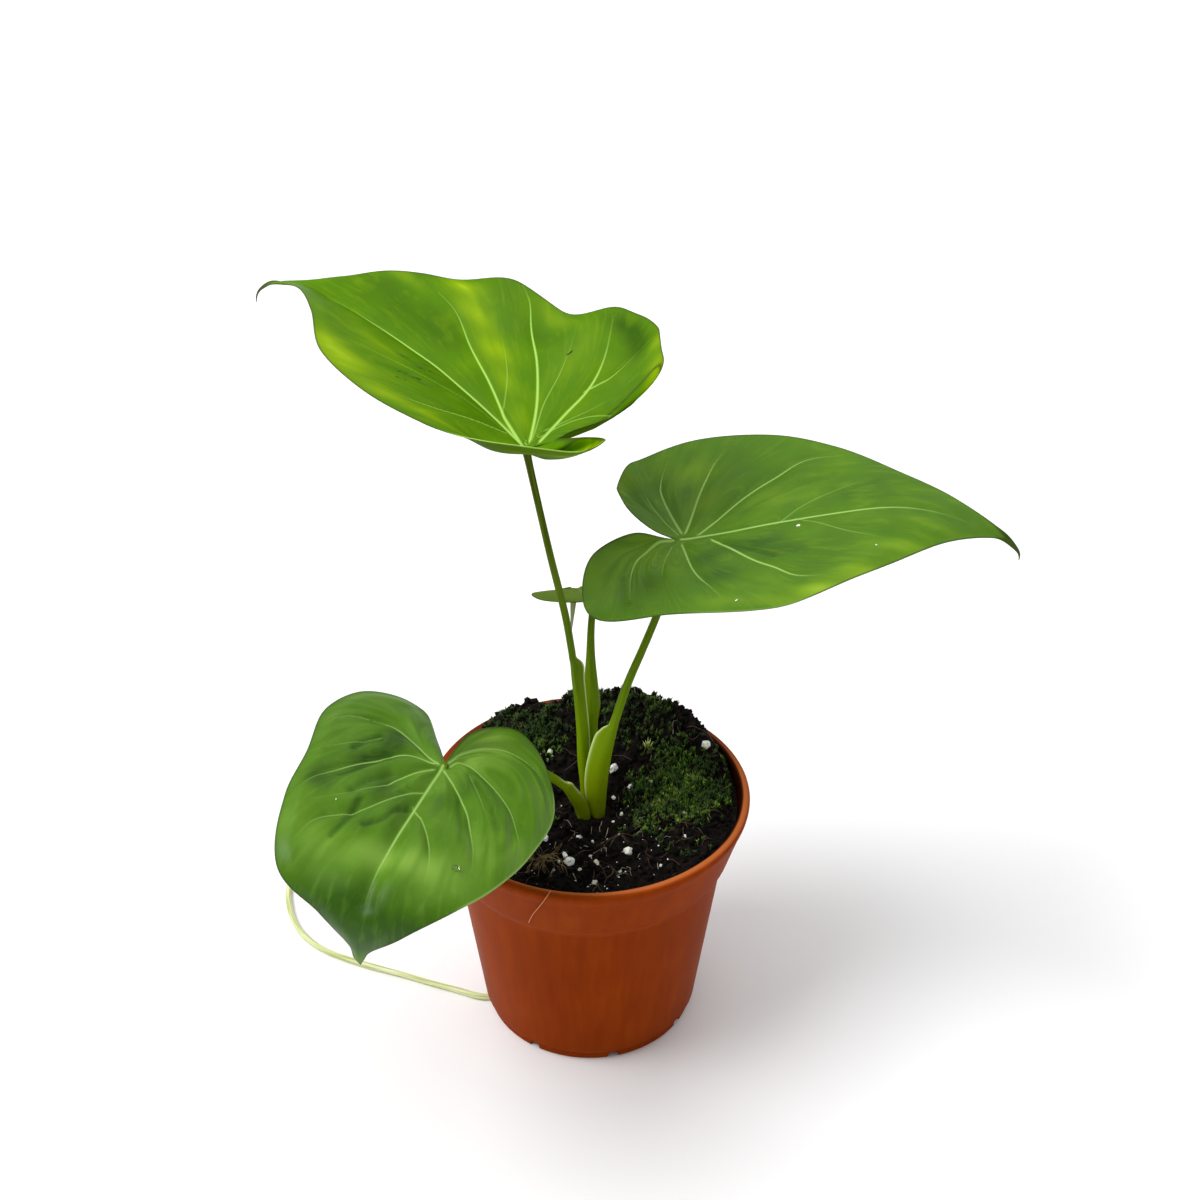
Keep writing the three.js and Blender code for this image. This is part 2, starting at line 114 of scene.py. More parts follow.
def make_piece(name, points, faces, materials, slot, stands_for=(), values=None, crisp=False):
    """A mesh object from points in millimetres, smooth unless it is crisp, with one named number or
    vector for each point where a material needs it.
    """
    mesh = bpy.data.meshes.new(name)
    mesh.from_pydata(
        (np.asarray(points) * MM).tolist(), [], [face for part in faces for face in part.tolist()]
    )
    for label, value in (values or {}).items():
        vector = value.ndim == 2
        attribute = mesh.attributes.new(label, "FLOAT_VECTOR" if vector else "FLOAT", "POINT")
        attribute.data.foreach_set("vector" if vector else "value", value.astype(np.float32).ravel())
    for material in materials:
        mesh.materials.append(material)
    mesh.polygons.foreach_set("use_smooth", [not crisp] * len(mesh.polygons))
    piece = bpy.data.objects.new(name, mesh)
    scene.collection.objects.link(piece)
    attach(piece, "root")
    if stands_for:
        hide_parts(*stands_for)
    print(f"{name}: {len(mesh.vertices)} points, {len(mesh.polygons)} faces")
    return piece

# %% [markdown]
# A plant has few straight lines. A smooth curve through a handful of measured stops gives stalks, veins
# and leaf margins, and smooth random heights give the lumps of soil and the unevenness of growth.

# %% Curves and smooth random numbers
def smooth(t):
    """A soft step from 0 to 1: three times t squared less twice t cubed."""
    t = np.clip(t, 0, 1)
    return t * t * (3 - 2 * t)


def through(stops, count):
    """Points on the Catmull-Rom curve through the stops: on each span a cubic whose slopes are half the
    step between its neighbours.
    """
    stops = np.asarray(stops, float)
    padded = np.vstack([2 * stops[0] - stops[1], stops, 2 * stops[-1] - stops[-2]])
    place = np.linspace(0, len(stops) - 1, count)
    span = np.minimum(place.astype(int), len(stops) - 2)
    t = (place - span)[:, None]
    a, b, c, d = (padded[span + i] for i in range(4))
    return 0.5 * (2 * b + (c - a) * t + (2 * a - 5 * b + 4 * c - d) * t**2 + (3 * b - a - 3 * c + d) * t**3)


def lumps(points, size, seed):
    """Smooth random heights from -1 to 1: every corner of a lattice of that size holds a random value,
    and a point blends its cell's corners.
    """
    places = np.asarray(points, float) / size + 0.37 * seed
    cell = np.floor(places).astype(np.int64)
    share = smooth(places - cell)
    total = np.zeros(len(places))
    for corner in np.ndindex(*(2,) * places.shape[1]):
        near = cell + corner
        mixed = np.full(len(places), seed * 97 + 11, np.int64)
        for axis in range(places.shape[1]):
            mixed = ((mixed ^ near[:, axis]) * 2654435761 + 97) % 4294967296
            mixed ^= mixed >> 15
        total += np.where(corner, share, 1 - share).prod(1) * (mixed % 65536 / 32767.5 - 1)
    return total


print("halfway up a soft step:", float(smooth(np.array(0.5))))

# %% [markdown]
# ## Materials
# Every finish is a small tree of nodes. One function adds a node, sets its properties and joins its
# inputs, and one turns a colour read from the photograph into the linear numbers that a shader needs.

# %% Node and colour helpers
def linear(hex_colour):
    """Linear red, green, blue and alpha of an sRGB hex colour."""
    values = [int(hex_colour[i : i + 2], 16) / 255 for i in (1, 3, 5)]
    return (*[v / 12.92 if v <= 0.04045 else ((v + 0.055) / 1.055) ** 2.4 for v in values], 1.0)


def add_node(tree, kind, inputs=None, stops=None, **settings):
    """Adds a shader node; inputs are values, outputs or nodes (for their first output) by socket name
    or number, and stops are a ramp's places and colours.
    """
    made = tree.nodes.new("ShaderNode" + kind)
    for name, value in settings.items():
        setattr(made, name, value)
    for socket, value in (inputs or {}).items():
        if isinstance(value, bpy.types.Node):
            value = value.outputs[0]
        if isinstance(value, bpy.types.NodeSocket):
            tree.links.new(value, made.inputs[socket])
        else:
            made.inputs[socket].default_value = value
    for i, (place, colour) in enumerate(stops or []):
        while len(made.color_ramp.elements) <= i:
            made.color_ramp.elements.new(1.0)
        made.color_ramp.elements[i].position = place
        made.color_ramp.elements[i].color = linear(colour)
    return made


def new_material(name, **surface):
    """A material with one Principled surface, whose given inputs are set on its own sockets."""
    material = bpy.data.materials.new(name)
    material.use_nodes = True
    shader = material.node_tree.nodes["Principled BSDF"]
    for socket, value in surface.items():
        shader.inputs[socket.replace("_", " ")].default_value = value
    return material, material.node_tree, shader


print("terracotta brown is", [round(v, 3) for v in linear("#7f3208")])

# %% [markdown]
# ## Floor and light
# The plant stands in a bright white studio. A very broad light hangs above and a little behind it, so
# level leaves shine a little and the sides that face the camera are the darker ones. A second soft light
# comes from the left and throws the wide, pale shadow to the right. A dim white room fills the rest. The
# floor is plain and matte.

# %% Floor and light
FLOOR_REACH = 4000
FLOOR_DROP = 0.05
# turn in degrees, strength and width in degrees of each soft light
LIGHTS = {"softbox above": ((-18, 4, 0), 1.35, 95), "window left": ((36, 0, -74), 2.25, 34)}
ROOM_STRENGTH = 0.37

floor_mesh = bpy.data.meshes.new("floor")
floor_corners = np.array([[-1, -1], [1, -1], [1, 1], [-1, 1]]) * FLOOR_REACH
floor_points = np.column_stack([floor_corners, np.full(4, -FLOOR_DROP)]) * MM
floor_mesh.from_pydata(floor_points.tolist(), [], [(0, 1, 2, 3)])
floor_material, _, _ = new_material("matte white paper", Base_Color=linear("#f5f5f6"), Roughness=0.9)
floor_mesh.materials.append(floor_material)
floor = bpy.data.objects.new("floor", floor_mesh)
scene.collection.objects.link(floor)

for name, (turn, strength, width) in LIGHTS.items():
    light_data = bpy.data.lights.new(name, "SUN")
    light_data.energy = strength
    light_data.angle = math.radians(width)
    light = bpy.data.objects.new(name, light_data)
    light.rotation_euler = [math.radians(value) for value in turn]
    scene.collection.objects.link(light)

sky = bpy.data.worlds.new("white room")
sky.use_nodes = True
sky.node_tree.nodes["Background"].inputs["Color"].default_value = (1, 1, 1, 1)
sky.node_tree.nodes["Background"].inputs["Strength"].default_value = ROOM_STRENGTH
scene.world = sky
scene.view_settings.view_transform = "Standard"
print("lights:", list(LIGHTS), "room", ROOM_STRENGTH)

# %% [markdown]
# ## Pot
# A nursery pot is thermoformed: a hot sheet of polypropylene is sucked into a mould, which leaves a
# rounded lip, a collar, thin walls that taper for stacking and a foot with drainage notches. It could be
# a modifier on the solid, but a turned profile with rounded corners gives a truer edge. The notches are
# cut afterwards, as the trimming tool does.

# %% Polypropylene, thermoformed
def pot_plastic():
    """Terracotta-coloured polypropylene: satin, a little cloudy, with faint vertical drawing streaks and
    fine scuffs. The inner wall above the mix is painted almost black as shade, the lip's crest and the
    foot's ledge have painted highlights, and the top of the lip is darker at the back.
    """
    material, tree, shader = new_material("polypropylene thermoformed", IOR=1.49, Specular_IOR_Level=0.02)
    place = add_node(tree, "TexCoord").outputs["Object"]
    cloud = add_node(tree, "TexNoise", {"Vector": place, "Scale": 28, "Detail": 3})
    drawn = add_node(tree, "Mapping", {"Vector": place, "Scale": (260, 260, 14)})
    streak = add_node(tree, "TexNoise", {"Vector": drawn, "Scale": 1, "Detail": 4, "Roughness": 0.6})
    grain = add_node(tree, "TexNoise", {"Vector": place, "Scale": 2600, "Detail": 2})
    scuff = add_node(tree, "TexVoronoi", {"Vector": place, "Scale": 130}, feature="DISTANCE_TO_EDGE")
    scuff_line = add_node(
        tree, "MapRange",
        {"Value": scuff.outputs["Distance"], "From Max": 0.035, "To Min": 0.35, "To Max": 0},
    )
    tone = add_node(tree, "Math", {0: cloud, 1: streak}, operation="ADD")
    half = add_node(tree, "Math", {0: tone, 1: 0.5}, operation="MULTIPLY")
    colour = add_node(
        tree, "ValToRGB", {"Fac": half}, stops=[(0.32, "#7e2e02"), (0.52, "#8a3503"), (0.7, "#963e06")]
    )
    dusty = add_node(tree, "TexNoise", {"Vector": place, "Scale": 55, "Detail": 5, "Roughness": 0.7})
    dust = add_node(tree, "MapRange", {"Value": dusty, "From Min": 0.6, "From Max": 0.8, "To Max": 0.1})
    pale = add_node(tree, "Mix", {0: dust, 6: colour, 7: linear("#ad5c2a")}, data_type="RGBA")
    # heights and radii from here on are in metres: reach is the radius, less for a higher place
    parts = add_node(tree, "SeparateXYZ", {0: place})
    flat = add_node(tree, "CombineXYZ", {0: parts, 1: parts.outputs[1]})
    away = add_node(tree, "VectorMath", {0: flat}, operation="LENGTH")
    wavy = add_node(tree, "Math", {0: cloud, 1: 0.0016, 2: -0.0008}, operation="MULTIPLY_ADD")
    ragged = add_node(tree, "Math", {0: away.outputs["Value"], 1: wavy}, operation="ADD")
    reach = add_node(tree, "Math", {0: parts, 1: -0.024, 2: ragged}, operation="MULTIPLY_ADD")
    # the inner side above the mix, painted almost black as shade
    inside = add_node(
        tree, "MapRange",
        {"Value": reach, "From Min": 0.0489, "From Max": 0.0494, "To Min": 0.94, "To Max": 0},
    )
    high = add_node(
        tree, "MapRange",
        {"Value": parts.outputs[2], "From Min": 0.0812, "From Max": 0.0824, "To Max": 1},
    )
    painted_inner_shade = add_node(tree, "Math", {0: inside, 1: high}, operation="MULTIPLY")
    # the crest of the lip, paler as a painted highlight, and the top's darker half at the back
    top = add_node(
        tree, "MapRange",
        {"Value": parts.outputs[2], "From Min": 0.0862, "From Max": 0.0869, "To Max": 0.85},
    )
    ridge = add_node(
        tree, "MapRange",
        {"Value": reach, "From Min": 0.0505, "From Max": 0.0514, "To Min": 1, "To Max": 0.15},
    )
    crest = add_node(tree, "Math", {0: top, 1: ridge}, operation="MULTIPLY")
    # painted highlight: the lip's crest is made paler
    lip_painted_highlight = add_node(tree, "Mix", {0: crest, 6: pale.outputs[2], 7: linear("#c46a36")}, data_type="RGBA")
    behind = add_node(
        tree, "MapRange",
        {"Value": parts.outputs[1], "From Min": 0.008, "From Max": 0.03, "To Max": 0.85},
    )
    top_at_back = add_node(tree, "Math", {0: behind, 1: top}, operation="MULTIPLY")
    darker_at_back = add_node(tree, "Mix", {0: top_at_back, 6: lip_painted_highlight.outputs[2], 7: linear("#4a1507")}, data_type="RGBA")
    # painted shade: the inner wall above the mix is made almost black
    dark = add_node(tree, "Mix", {0: painted_inner_shade, 6: darker_at_back.outputs[2], 7: linear("#1c0604")}, data_type="RGBA")
    # the ledge of the foot, paler as a painted highlight
    above = add_node(
        tree, "MapRange",
        {"Value": parts.outputs[2], "From Min": 0.0026, "From Max": 0.003, "To Max": 0.5},
    )
    below = add_node(
        tree, "MapRange",
        {"Value": parts.outputs[2], "From Min": 0.0034, "From Max": 0.0042, "To Min": 1, "To Max": 0},
    )
    ledge = add_node(tree, "Math", {0: above, 1: below}, operation="MULTIPLY")
    # painted highlight: a paler line along the foot's ledge
    ledge_painted_highlight = add_node(tree, "Mix", {0: ledge, 6: dark.outputs[2], 7: linear("#c46a36")}, data_type="RGBA")
    tree.links.new(ledge_painted_highlight.outputs[2], shader.inputs["Base Color"])
    rough = add_node(tree, "MapRange", {"Value": streak, "To Min": 0.36, "To Max": 0.52})
    tree.links.new(rough.outputs[0], shader.inputs["Roughness"])
    height = add_node(tree, "Math", {0: grain, 1: scuff_line}, operation="SUBTRACT")
    bump = add_node(tree, "Bump", {"Height": height, "Strength": 0.35, "Distance": 0.00012})
    tree.links.new(bump.outputs[0], shader.inputs["Normal"])
    return material


POT_PLASTIC = pot_plastic()
print("made", POT_PLASTIC.name)

# %% The pot's profile, turned
RIM_RADIUS = 52.5
POT_HEIGHT = 87
FOOT_RADIUS = 35
FOOT_HEIGHT = 3.4
FLOOR_THICKNESS = 1.8
WALL_THICKNESS = 1.5
COLLAR_FOOT_RADIUS = 46.8
COLLAR_FOOT_Z = 67
WALL_TOP_RADIUS = 44.3
WALL_TOP_Z = 64
MIX_RADIUS = 48.5

# radius, height and how far the corner there is rounded
POT_PROFILE = [
    (0, 0, 0), (FOOT_RADIUS, 0, 0.7), (FOOT_RADIUS, FOOT_HEIGHT, 0.5),
    (FOOT_RADIUS + 1.3, FOOT_HEIGHT + 0.7, 0.5), (FOOT_RADIUS + 2.1, FOOT_HEIGHT + 7, 4),
    (WALL_TOP_RADIUS, WALL_TOP_Z, 1.2), (COLLAR_FOOT_RADIUS - 0.2, COLLAR_FOOT_Z, 0.9),
    (COLLAR_FOOT_RADIUS + 2.2, COLLAR_FOOT_Z + 8, 3), (RIM_RADIUS - 1.3, POT_HEIGHT - 4.9, 1.1),
    (RIM_RADIUS - 0.4, POT_HEIGHT - 2.8, 1.0), (RIM_RADIUS, POT_HEIGHT - 0.2, 1.5),
    (RIM_RADIUS - 3.0, POT_HEIGHT, 1.0), (RIM_RADIUS - 3.3, POT_HEIGHT - 2, 0.6),
    (MIX_RADIUS + 0.6, POT_HEIGHT - 5.5, 0.5),
    (COLLAR_FOOT_RADIUS - WALL_THICKNESS, COLLAR_FOOT_Z + 1.5, 0.8),
    (WALL_TOP_RADIUS - WALL_THICKNESS, WALL_TOP_Z, 1), (FOOT_RADIUS - 1, FLOOR_THICKNESS, 1),
    (0, FLOOR_THICKNESS, 0),
]
POT_SIDES = 224
POT_SWAY = 0.0016
CORNER_STEPS = 7


def rounded(profile, steps):
    """Each corner becomes a short parabola that leaves one side and joins the next, at the rounding
    distance from the corner.
    """
    corners = np.array(profile, float)
    points, reach = corners[:, :2], corners[:, 2:]
    before = np.vstack([points[:1], points[:-1]]) - points
    after = np.vstack([points[1:], points[-1:]]) - points
    before /= np.maximum(np.linalg.norm(before, axis=1, keepdims=True), 1e-9)
    after /= np.maximum(np.linalg.norm(after, axis=1, keepdims=True), 1e-9)
    t = np.linspace(0, 1, steps)[None, :, None]
    start, end = (points + before * reach)[:, None], (points + after * reach)[:, None]
    curve = (1 - t) ** 2 * start + 2 * t * (1 - t) * points[:, None] + t**2 * end
    curve = curve.reshape(-1, 2)
    apart = np.linalg.norm(np.diff(curve, axis=0, prepend=curve[:1] - 1), axis=1) > 1e-6
    return curve[apart]


def turned(profile, sides, sway=0.0):
    """Points of a profile turned round the Z axis: (r cos v, r sin v, z), with the wall swaying a
    little from round as thin plastic does.
    """
    angle = np.linspace(0, 2 * np.pi, sides, endpoint=False)[None, :]
    radius, height = profile[:, :1], profile[:, 1:]
    radius = radius * (1 + sway * (height / POT_HEIGHT) * np.cos(2 * angle + 0.6))
    return np.stack([radius * np.cos(angle), radius * np.sin(angle), height + 0 * angle], -1)


pot_curve = rounded(POT_PROFILE, CORNER_STEPS)
inner = pot_curve[1:-1]
pot_grid = turned(inner, POT_SIDES, POT_SWAY)
rings = len(inner)
pot_points = np.vstack([pot_grid.reshape(-1, 3), [0, 0, 0], [0, 0, FLOOR_THICKNESS]])
first_ring = np.arange(POT_SIDES)
last_ring = first_ring + (rings - 1) * POT_SIDES
pot_faces = [
    grid_faces(rings, POT_SIDES, around=True),
    fan_faces(first_ring, rings * POT_SIDES, flip=True),
    fan_faces(last_ring, rings * POT_SIDES + 1),
]
pot = make_piece("nursery_pot", pot_points, pot_faces, [POT_PLASTIC], "pot_plastic", ["pot"])

# %% [markdown]
# The drainage notches are arches cut through the foot at even steps. A Boolean modifier cuts them all at
# once with one mesh of eight arches, and its result is kept, so the cutter can go.

# %% Drainage notches
NOTCHES = 8
NOTCH_WIDTH = 3.8
NOTCH_HEIGHT = 2.2
FIRST_NOTCH = -77
NOTCH_INNER_RADIUS = 29
ARCH_POINTS = 9

arch_angle = np.linspace(0, np.pi, ARCH_POINTS)
arch = np.column_stack([NOTCH_WIDTH / 2 * np.cos(arch_angle), NOTCH_HEIGHT * np.sin(arch_angle) ** 0.6])
arch = np.vstack([[NOTCH_WIDTH / 2, -2], arch, [-NOTCH_WIDTH / 2, -2]])
turns = np.radians(FIRST_NOTCH + np.arange(NOTCHES) * 360 / NOTCHES)
reach = np.array([NOTCH_INNER_RADIUS, FOOT_RADIUS + 6])
across, deep, turn = np.meshgrid(np.arange(len(arch)), np.arange(2), turns, indexing="ij")
side, radius = arch[across, 0], reach[deep]
cutter_points = np.stack(
    [
        radius * np.cos(turn) - side * np.sin(turn), radius * np.sin(turn) + side * np.cos(turn),
        arch[across, 1],
    ],
    -1,
).transpose(2, 1, 0, 3)
cutter_mesh = bpy.data.meshes.new("notch cutter")
cutter_faces = []
for i in range(NOTCHES):
    start = i * 2 * len(arch)
    front = list(range(start, start + len(arch)))
    back = list(range(start + len(arch), start + 2 * len(arch)))
    cutter_faces += grid_faces(2, len(arch), around=True, start=start).tolist() + [front[::-1], back]
cutter_mesh.from_pydata((cutter_points.reshape(-1, 3) * MM).tolist(), [], cutter_faces)
shaper = bmesh.new()
shaper.from_mesh(cutter_mesh)
bmesh.ops.recalc_face_normals(shaper, faces=shaper.faces)
shaper.to_mesh(cutter_mesh)
shaper.free()
cutter = bpy.data.objects.new("notch cutter", cutter_mesh)
scene.collection.objects.link(cutter)
cut = pot.modifiers.new("notches", "BOOLEAN")
cut.operation = "DIFFERENCE"
cut.solver = "EXACT"
cut.object = cutter
whole = bpy.data.meshes.new_from_object(pot.evaluated_get(bpy.context.evaluated_depsgraph_get()))
pot.modifiers.clear()
pot.data = whole
bpy.data.objects.remove(cutter)
print("pot with notches:", len(whole.polygons), "faces")

# %% [markdown]
# ## Potting mix
# Peat mix is dark, damp and crumbly. Its body is one closed surface: up the pot's wall, over the lumpy
# top, which is mounded behind, and down into the plain hole where the stem stands. Random heights of
# three sizes make it crumbly. Loose crumbs, grains, fibres and moss come on top as pieces of their own.

# %% Peat, moss and the grains in it
def peat():
    """Damp peat: almost black, brown where it dries, with a film of green moss where the moss attribute
    is high.
    """
    material, tree, shader = new_material("peat damp", Roughness=0.9, IOR=1.35, Specular_IOR_Level=0.2)
    place = add_node(tree, "TexCoord").outputs["Object"]
    crumb = add_node(tree, "TexNoise", {"Vector": place, "Scale": 420, "Detail": 6, "Roughness": 0.75})
    patch = add_node(tree, "TexNoise", {"Vector": place, "Scale": 90, "Detail": 4})
    colour = add_node(
        tree, "ValToRGB", {"Fac": crumb},
        stops=[(0.35, "#070505"), (0.52, "#110c0a"), (0.62, "#241a15"), (0.78, "#463629")],
    )
    green = add_node(
        tree, "ValToRGB", {"Fac": crumb},
        stops=[(0.35, "#0b1206"), (0.55, "#1c2c0c"), (0.75, "#40581c")],
    )
    moss = add_node(tree, "Attribute", attribute_name="moss")
    cover = add_node(tree, "Math", {0: moss.outputs["Fac"], 1: patch}, operation="MULTIPLY")
    film = add_node(tree, "MapRange", {"Value": cover, "From Min": 0.2, "From Max": 0.5})
    mixed = add_node(tree, "Mix", {0: film, 6: colour, 7: green}, data_type="RGBA")
    tree.links.new(mixed.outputs[2], shader.inputs["Base Color"])
    bump = add_node(tree, "Bump", {"Height": crumb, "Strength": 0.9, "Distance": 0.0006})
    tree.links.new(bump.outputs[0], shader.inputs["Normal"])
    return material


PEAT = peat()
print("made", PEAT.name)

# %% The body of the mix
MIX_LEVEL = 82.5
MOUND_RISE = 13
MOUND_EDGE = 49.5
SEAT_GAP = 0.3
MIX_FLOOR = FLOOR_THICKNESS + SEAT_GAP
STEM_PLACE = np.array([1.0, -3.0])
STEM_RADIUS = 6.7
STEM_TOP = 79.8
STEM_DEPTH = 25
STEM_GAP = 0.25
MIX_GAP = 0.6
MIX_SIDES = 420
MIX_RINGS = 125


def mix_height(x, y):
    """Height of the mix: level in front, a mound behind with two knolls and two dips, slow waves all
    over, and a slight hollow at the stem.
    """
    r = np.hypot(x, y)
    mound = MOUND_RISE * smooth((y + 4) / 38) * (1 - (r / MOUND_EDGE) ** 18)
    mound += 5 * np.exp(-(((x - 34) / 7) ** 2) - ((y - 32) / 7) ** 2) * (1 - (r / MOUND_EDGE) ** 14)
    mound += 3.5 * np.exp(-(((x - 16) / 9) ** 2) - ((y - 40) / 8) ** 2) * (1 - (r / MOUND_EDGE) ** 14)
    mound -= 4.5 * np.exp(-(((x + 14) / 7) ** 2) - ((y - 46) / 8) ** 2)
    mound -= 5 * np.exp(-(((x + 42) / 9) ** 2) - ((y - 20) / 14) ** 2)
    waves = 0.9 * np.sin(0.42 * x + 1.1) * np.cos(0.37 * y - 0.4) + 0.5 * np.sin(0.83 * x - 0.61 * y)
    from_stem = np.hypot(x - STEM_PLACE[0], y - STEM_PLACE[1])
    calm = smooth((MIX_RADIUS - r) / 6) * smooth((from_stem - STEM_RADIUS) / 6)
    return MIX_LEVEL + mound + waves * calm - 1.2 * np.exp(-(from_stem**2) / 120)


def moss_cover(x, y):
    """How mossy a place is, from 0 to 1: the right-hand side and the back of the pot, in patches a
    centimetre across.
    """
    patches = lumps(np.column_stack([x, y]), 9, 5) * 0.55 + lumps(np.column_stack([x, y]), 4, 6) * 0.3
    right = np.exp(-(((x - 29) / 17) ** 2) - ((y - 3) / 17) ** 2)
    back = 0.65 * np.exp(-(((x + 20) / 14) ** 2) - ((y - 20) / 12) ** 2)
    far = 0.5 * np.exp(-(((x - 12) / 25) ** 2) - ((y - 34) / 10) ** 2)
    return np.clip((right + back + far) * 1.3 + patches * 0.55 - 0.2, 0, 1)


def crumbled(x, y):
    """The mix's height with crumbs of 6, 2.6 and 1.3 mm on it, and soft cushions where moss grows."""
    flat = np.column_stack([x, y])
    edge = smooth((MIX_RADIUS + 0.2 - np.hypot(x, y)) / 2.5)
    crumbs = 1.1 * lumps(flat, 6, 1) + 0.9 * np.abs(lumps(flat, 2.6, 2)) + 0.6 * lumps(flat, 1.3, 3)
    return mix_height(x, y) + (crumbs - 0.2 + 1.0 * moss_cover(x, y)) * edge


angle = np.linspace(0, 2 * np.pi, MIX_SIDES, endpoint=False)[None, :]
share = np.linspace(0, 1, MIX_RINGS)[:, None] ** 0.85
hole = STEM_RADIUS + STEM_GAP
around_stem = [STEM_PLACE[i] + hole * f(angle) for i, f in enumerate((np.cos, np.sin))]
along_wall = [MIX_RADIUS * f(angle) for f in (np.cos, np.sin)]
top_x, top_y = ((1 - share) * a + share * b for a, b in zip(around_stem, along_wall))
top_z = crumbled(top_x.ravel(), top_y.ravel()).reshape(top_x.shape)
top = np.stack([top_x, top_y, top_z], -1)
shaft = top[:1].repeat(3, 0)
shaft[:, :, 2] = np.array([[STEM_TOP - STEM_DEPTH - SEAT_GAP], [70.0], [79.0]])
# radius and height of the pot's inner wall, from the top down, and the mix a gap inside it
wall = np.array([[49.1, 81.5], [45.3, 68.5], [42.8, 64], [34, MIX_FLOOR]]) - [MIX_GAP, 0]
below = turned(wall, MIX_SIDES)
mix_grid = np.concatenate([shaft, top, below])
mix_rings = len(mix_grid)
mix_points = np.vstack([
    mix_grid.reshape(-1, 3),
    [*STEM_PLACE, STEM_TOP - STEM_DEPTH - SEAT_GAP],
    [0, 0, MIX_FLOOR],
])
mix_ring = np.arange(MIX_SIDES)
mix_faces = [
    grid_faces(mix_rings, MIX_SIDES, around=True)[:, ::-1],
    fan_faces(mix_ring, mix_rings * MIX_SIDES),
    fan_faces(mix_ring + (mix_rings - 1) * MIX_SIDES, mix_rings * MIX_SIDES + 1, flip=True),
]
mix_moss = moss_cover(mix_points[:, 0], mix_points[:, 1])
make_piece("peat_mix", mix_points, mix_faces, [PEAT], "peat", ["potting_mix"], {"moss": mix_moss})

# %% [markdown]
# Loose crumbs and grains are one small shape many times over: a ball of 20 or 80 faces, stretched, turned
# and set on the mix by seeded random numbers. All copies are worked out as one array of points.

# %% Crumbs of peat
def solid_ball(level):
    """Points and triangles of a ball: 20 faces at level 1, and four times as many at each level above."""
    shaper = bmesh.new()
    bmesh.ops.create_icosphere(shaper, subdivisions=level, radius=1)
    points = np.array([v.co[:] for v in shaper.verts])
    faces = np.array([[v.index for v in f.verts] for f in shaper.faces])
    shaper.free()
    return points, faces


def scattered(ball, places, sizes, seed, rough=0.25):
    """Copies of a ball at the places: each point is pushed in or out at random, stretched by three
    sizes and turned by a random rotation.
    """
    draw = np.random.default_rng(seed)
    points, faces = ball
    count = len(places)
    shapes = points[None] * (1 + rough * draw.uniform(-1, 1, (count, len(points), 1))) * sizes[:, None, :]
    turns, _ = np.linalg.qr(draw.normal(size=(count, 3, 3)))
    turns[np.linalg.det(turns) < 0, :, 0] *= -1
    shapes = np.einsum("nij,npj->npi", turns, shapes) + places[:, None]
    copies = faces[None] + (np.arange(count) * len(points))[:, None, None]
    return shapes.reshape(-1, 3), copies.reshape(-1, faces.shape[1])


def on_mix(count, seed, keep=lambda x, y: 1.0, reach=47.0):
    """Random places on the mix, kept with the chance that keep gives, clear of the stem."""
    draw = np.random.default_rng(seed)
    radius = reach * np.sqrt(draw.uniform(0, 1, count * 6))
    turn = draw.uniform(0, 2 * np.pi, count * 6)
    x, y = radius * np.cos(turn), radius * np.sin(turn)
    clear = np.hypot(x - STEM_PLACE[0], y - STEM_PLACE[1]) > STEM_RADIUS + 0.8
    lucky = clear & (draw.uniform(0, 1, len(x)) < keep(x, y))
    x, y = x[lucky][:count], y[lucky][:count]
    return np.column_stack([x, y, crumbled(x, y)])


CRUMBS = 1500
crumb_draw = np.random.default_rng(3)
crumb_places = on_mix(CRUMBS, 4)
crumb_sizes = (
    crumb_draw.uniform(0.35, 0.75, (len(crumb_places), 3))
    * (1 + crumb_draw.pareto(3.5, (len(crumb_places), 1)).clip(0, 1.6))
)
crumb_places[:, 2] += 0.3 * crumb_sizes[:, 2]
crumb_points, crumb_faces = scattered(solid_ball(1), crumb_places, crumb_sizes, 5)
crumb_moss = moss_cover(crumb_points[:, 0], crumb_points[:, 1]) * 0.8
make_piece("peat_crumbs", crumb_points, [crumb_faces], [PEAT], "peat", values={"moss": crumb_moss})

# %% [markdown]
# Perlite is volcanic glass, popped by heat like corn into white foam grains of 1 to 4 mm. It keeps the
# mix airy. The larger grains lie near their places in the photograph, within a few millimetres, and
# smaller ones are strewn between.

# %% Perlite grains
def perlite():
    """Expanded volcanic glass: chalky cream white and matte, pitted by burst bubbles, stained a little
    by wet peat.
    """
    material, tree, shader = new_material("perlite expanded", Roughness=0.8, IOR=1.5)
    place = add_node(tree, "TexCoord").outputs["Object"]
    stain = add_node(tree, "TexNoise", {"Vector": place, "Scale": 260, "Detail": 3})
    colour = add_node(
        tree, "ValToRGB", {"Fac": stain}, stops=[(0.3, "#c6c59a"), (0.42, "#f0f1da"), (0.6, "#ffffff")]
    )
    tree.links.new(colour.outputs[0], shader.inputs["Base Color"])
    pits = add_node(tree, "TexVoronoi", {"Vector": place, "Scale": 1900})
    bump = add_node(tree, "Bump", {"Height": pits.outputs["Distance"], "Strength": 0.5, "Distance": 0.0002})
    tree.links.new(bump.outputs[0], shader.inputs["Normal"])
    return material


PERLITE = perlite()
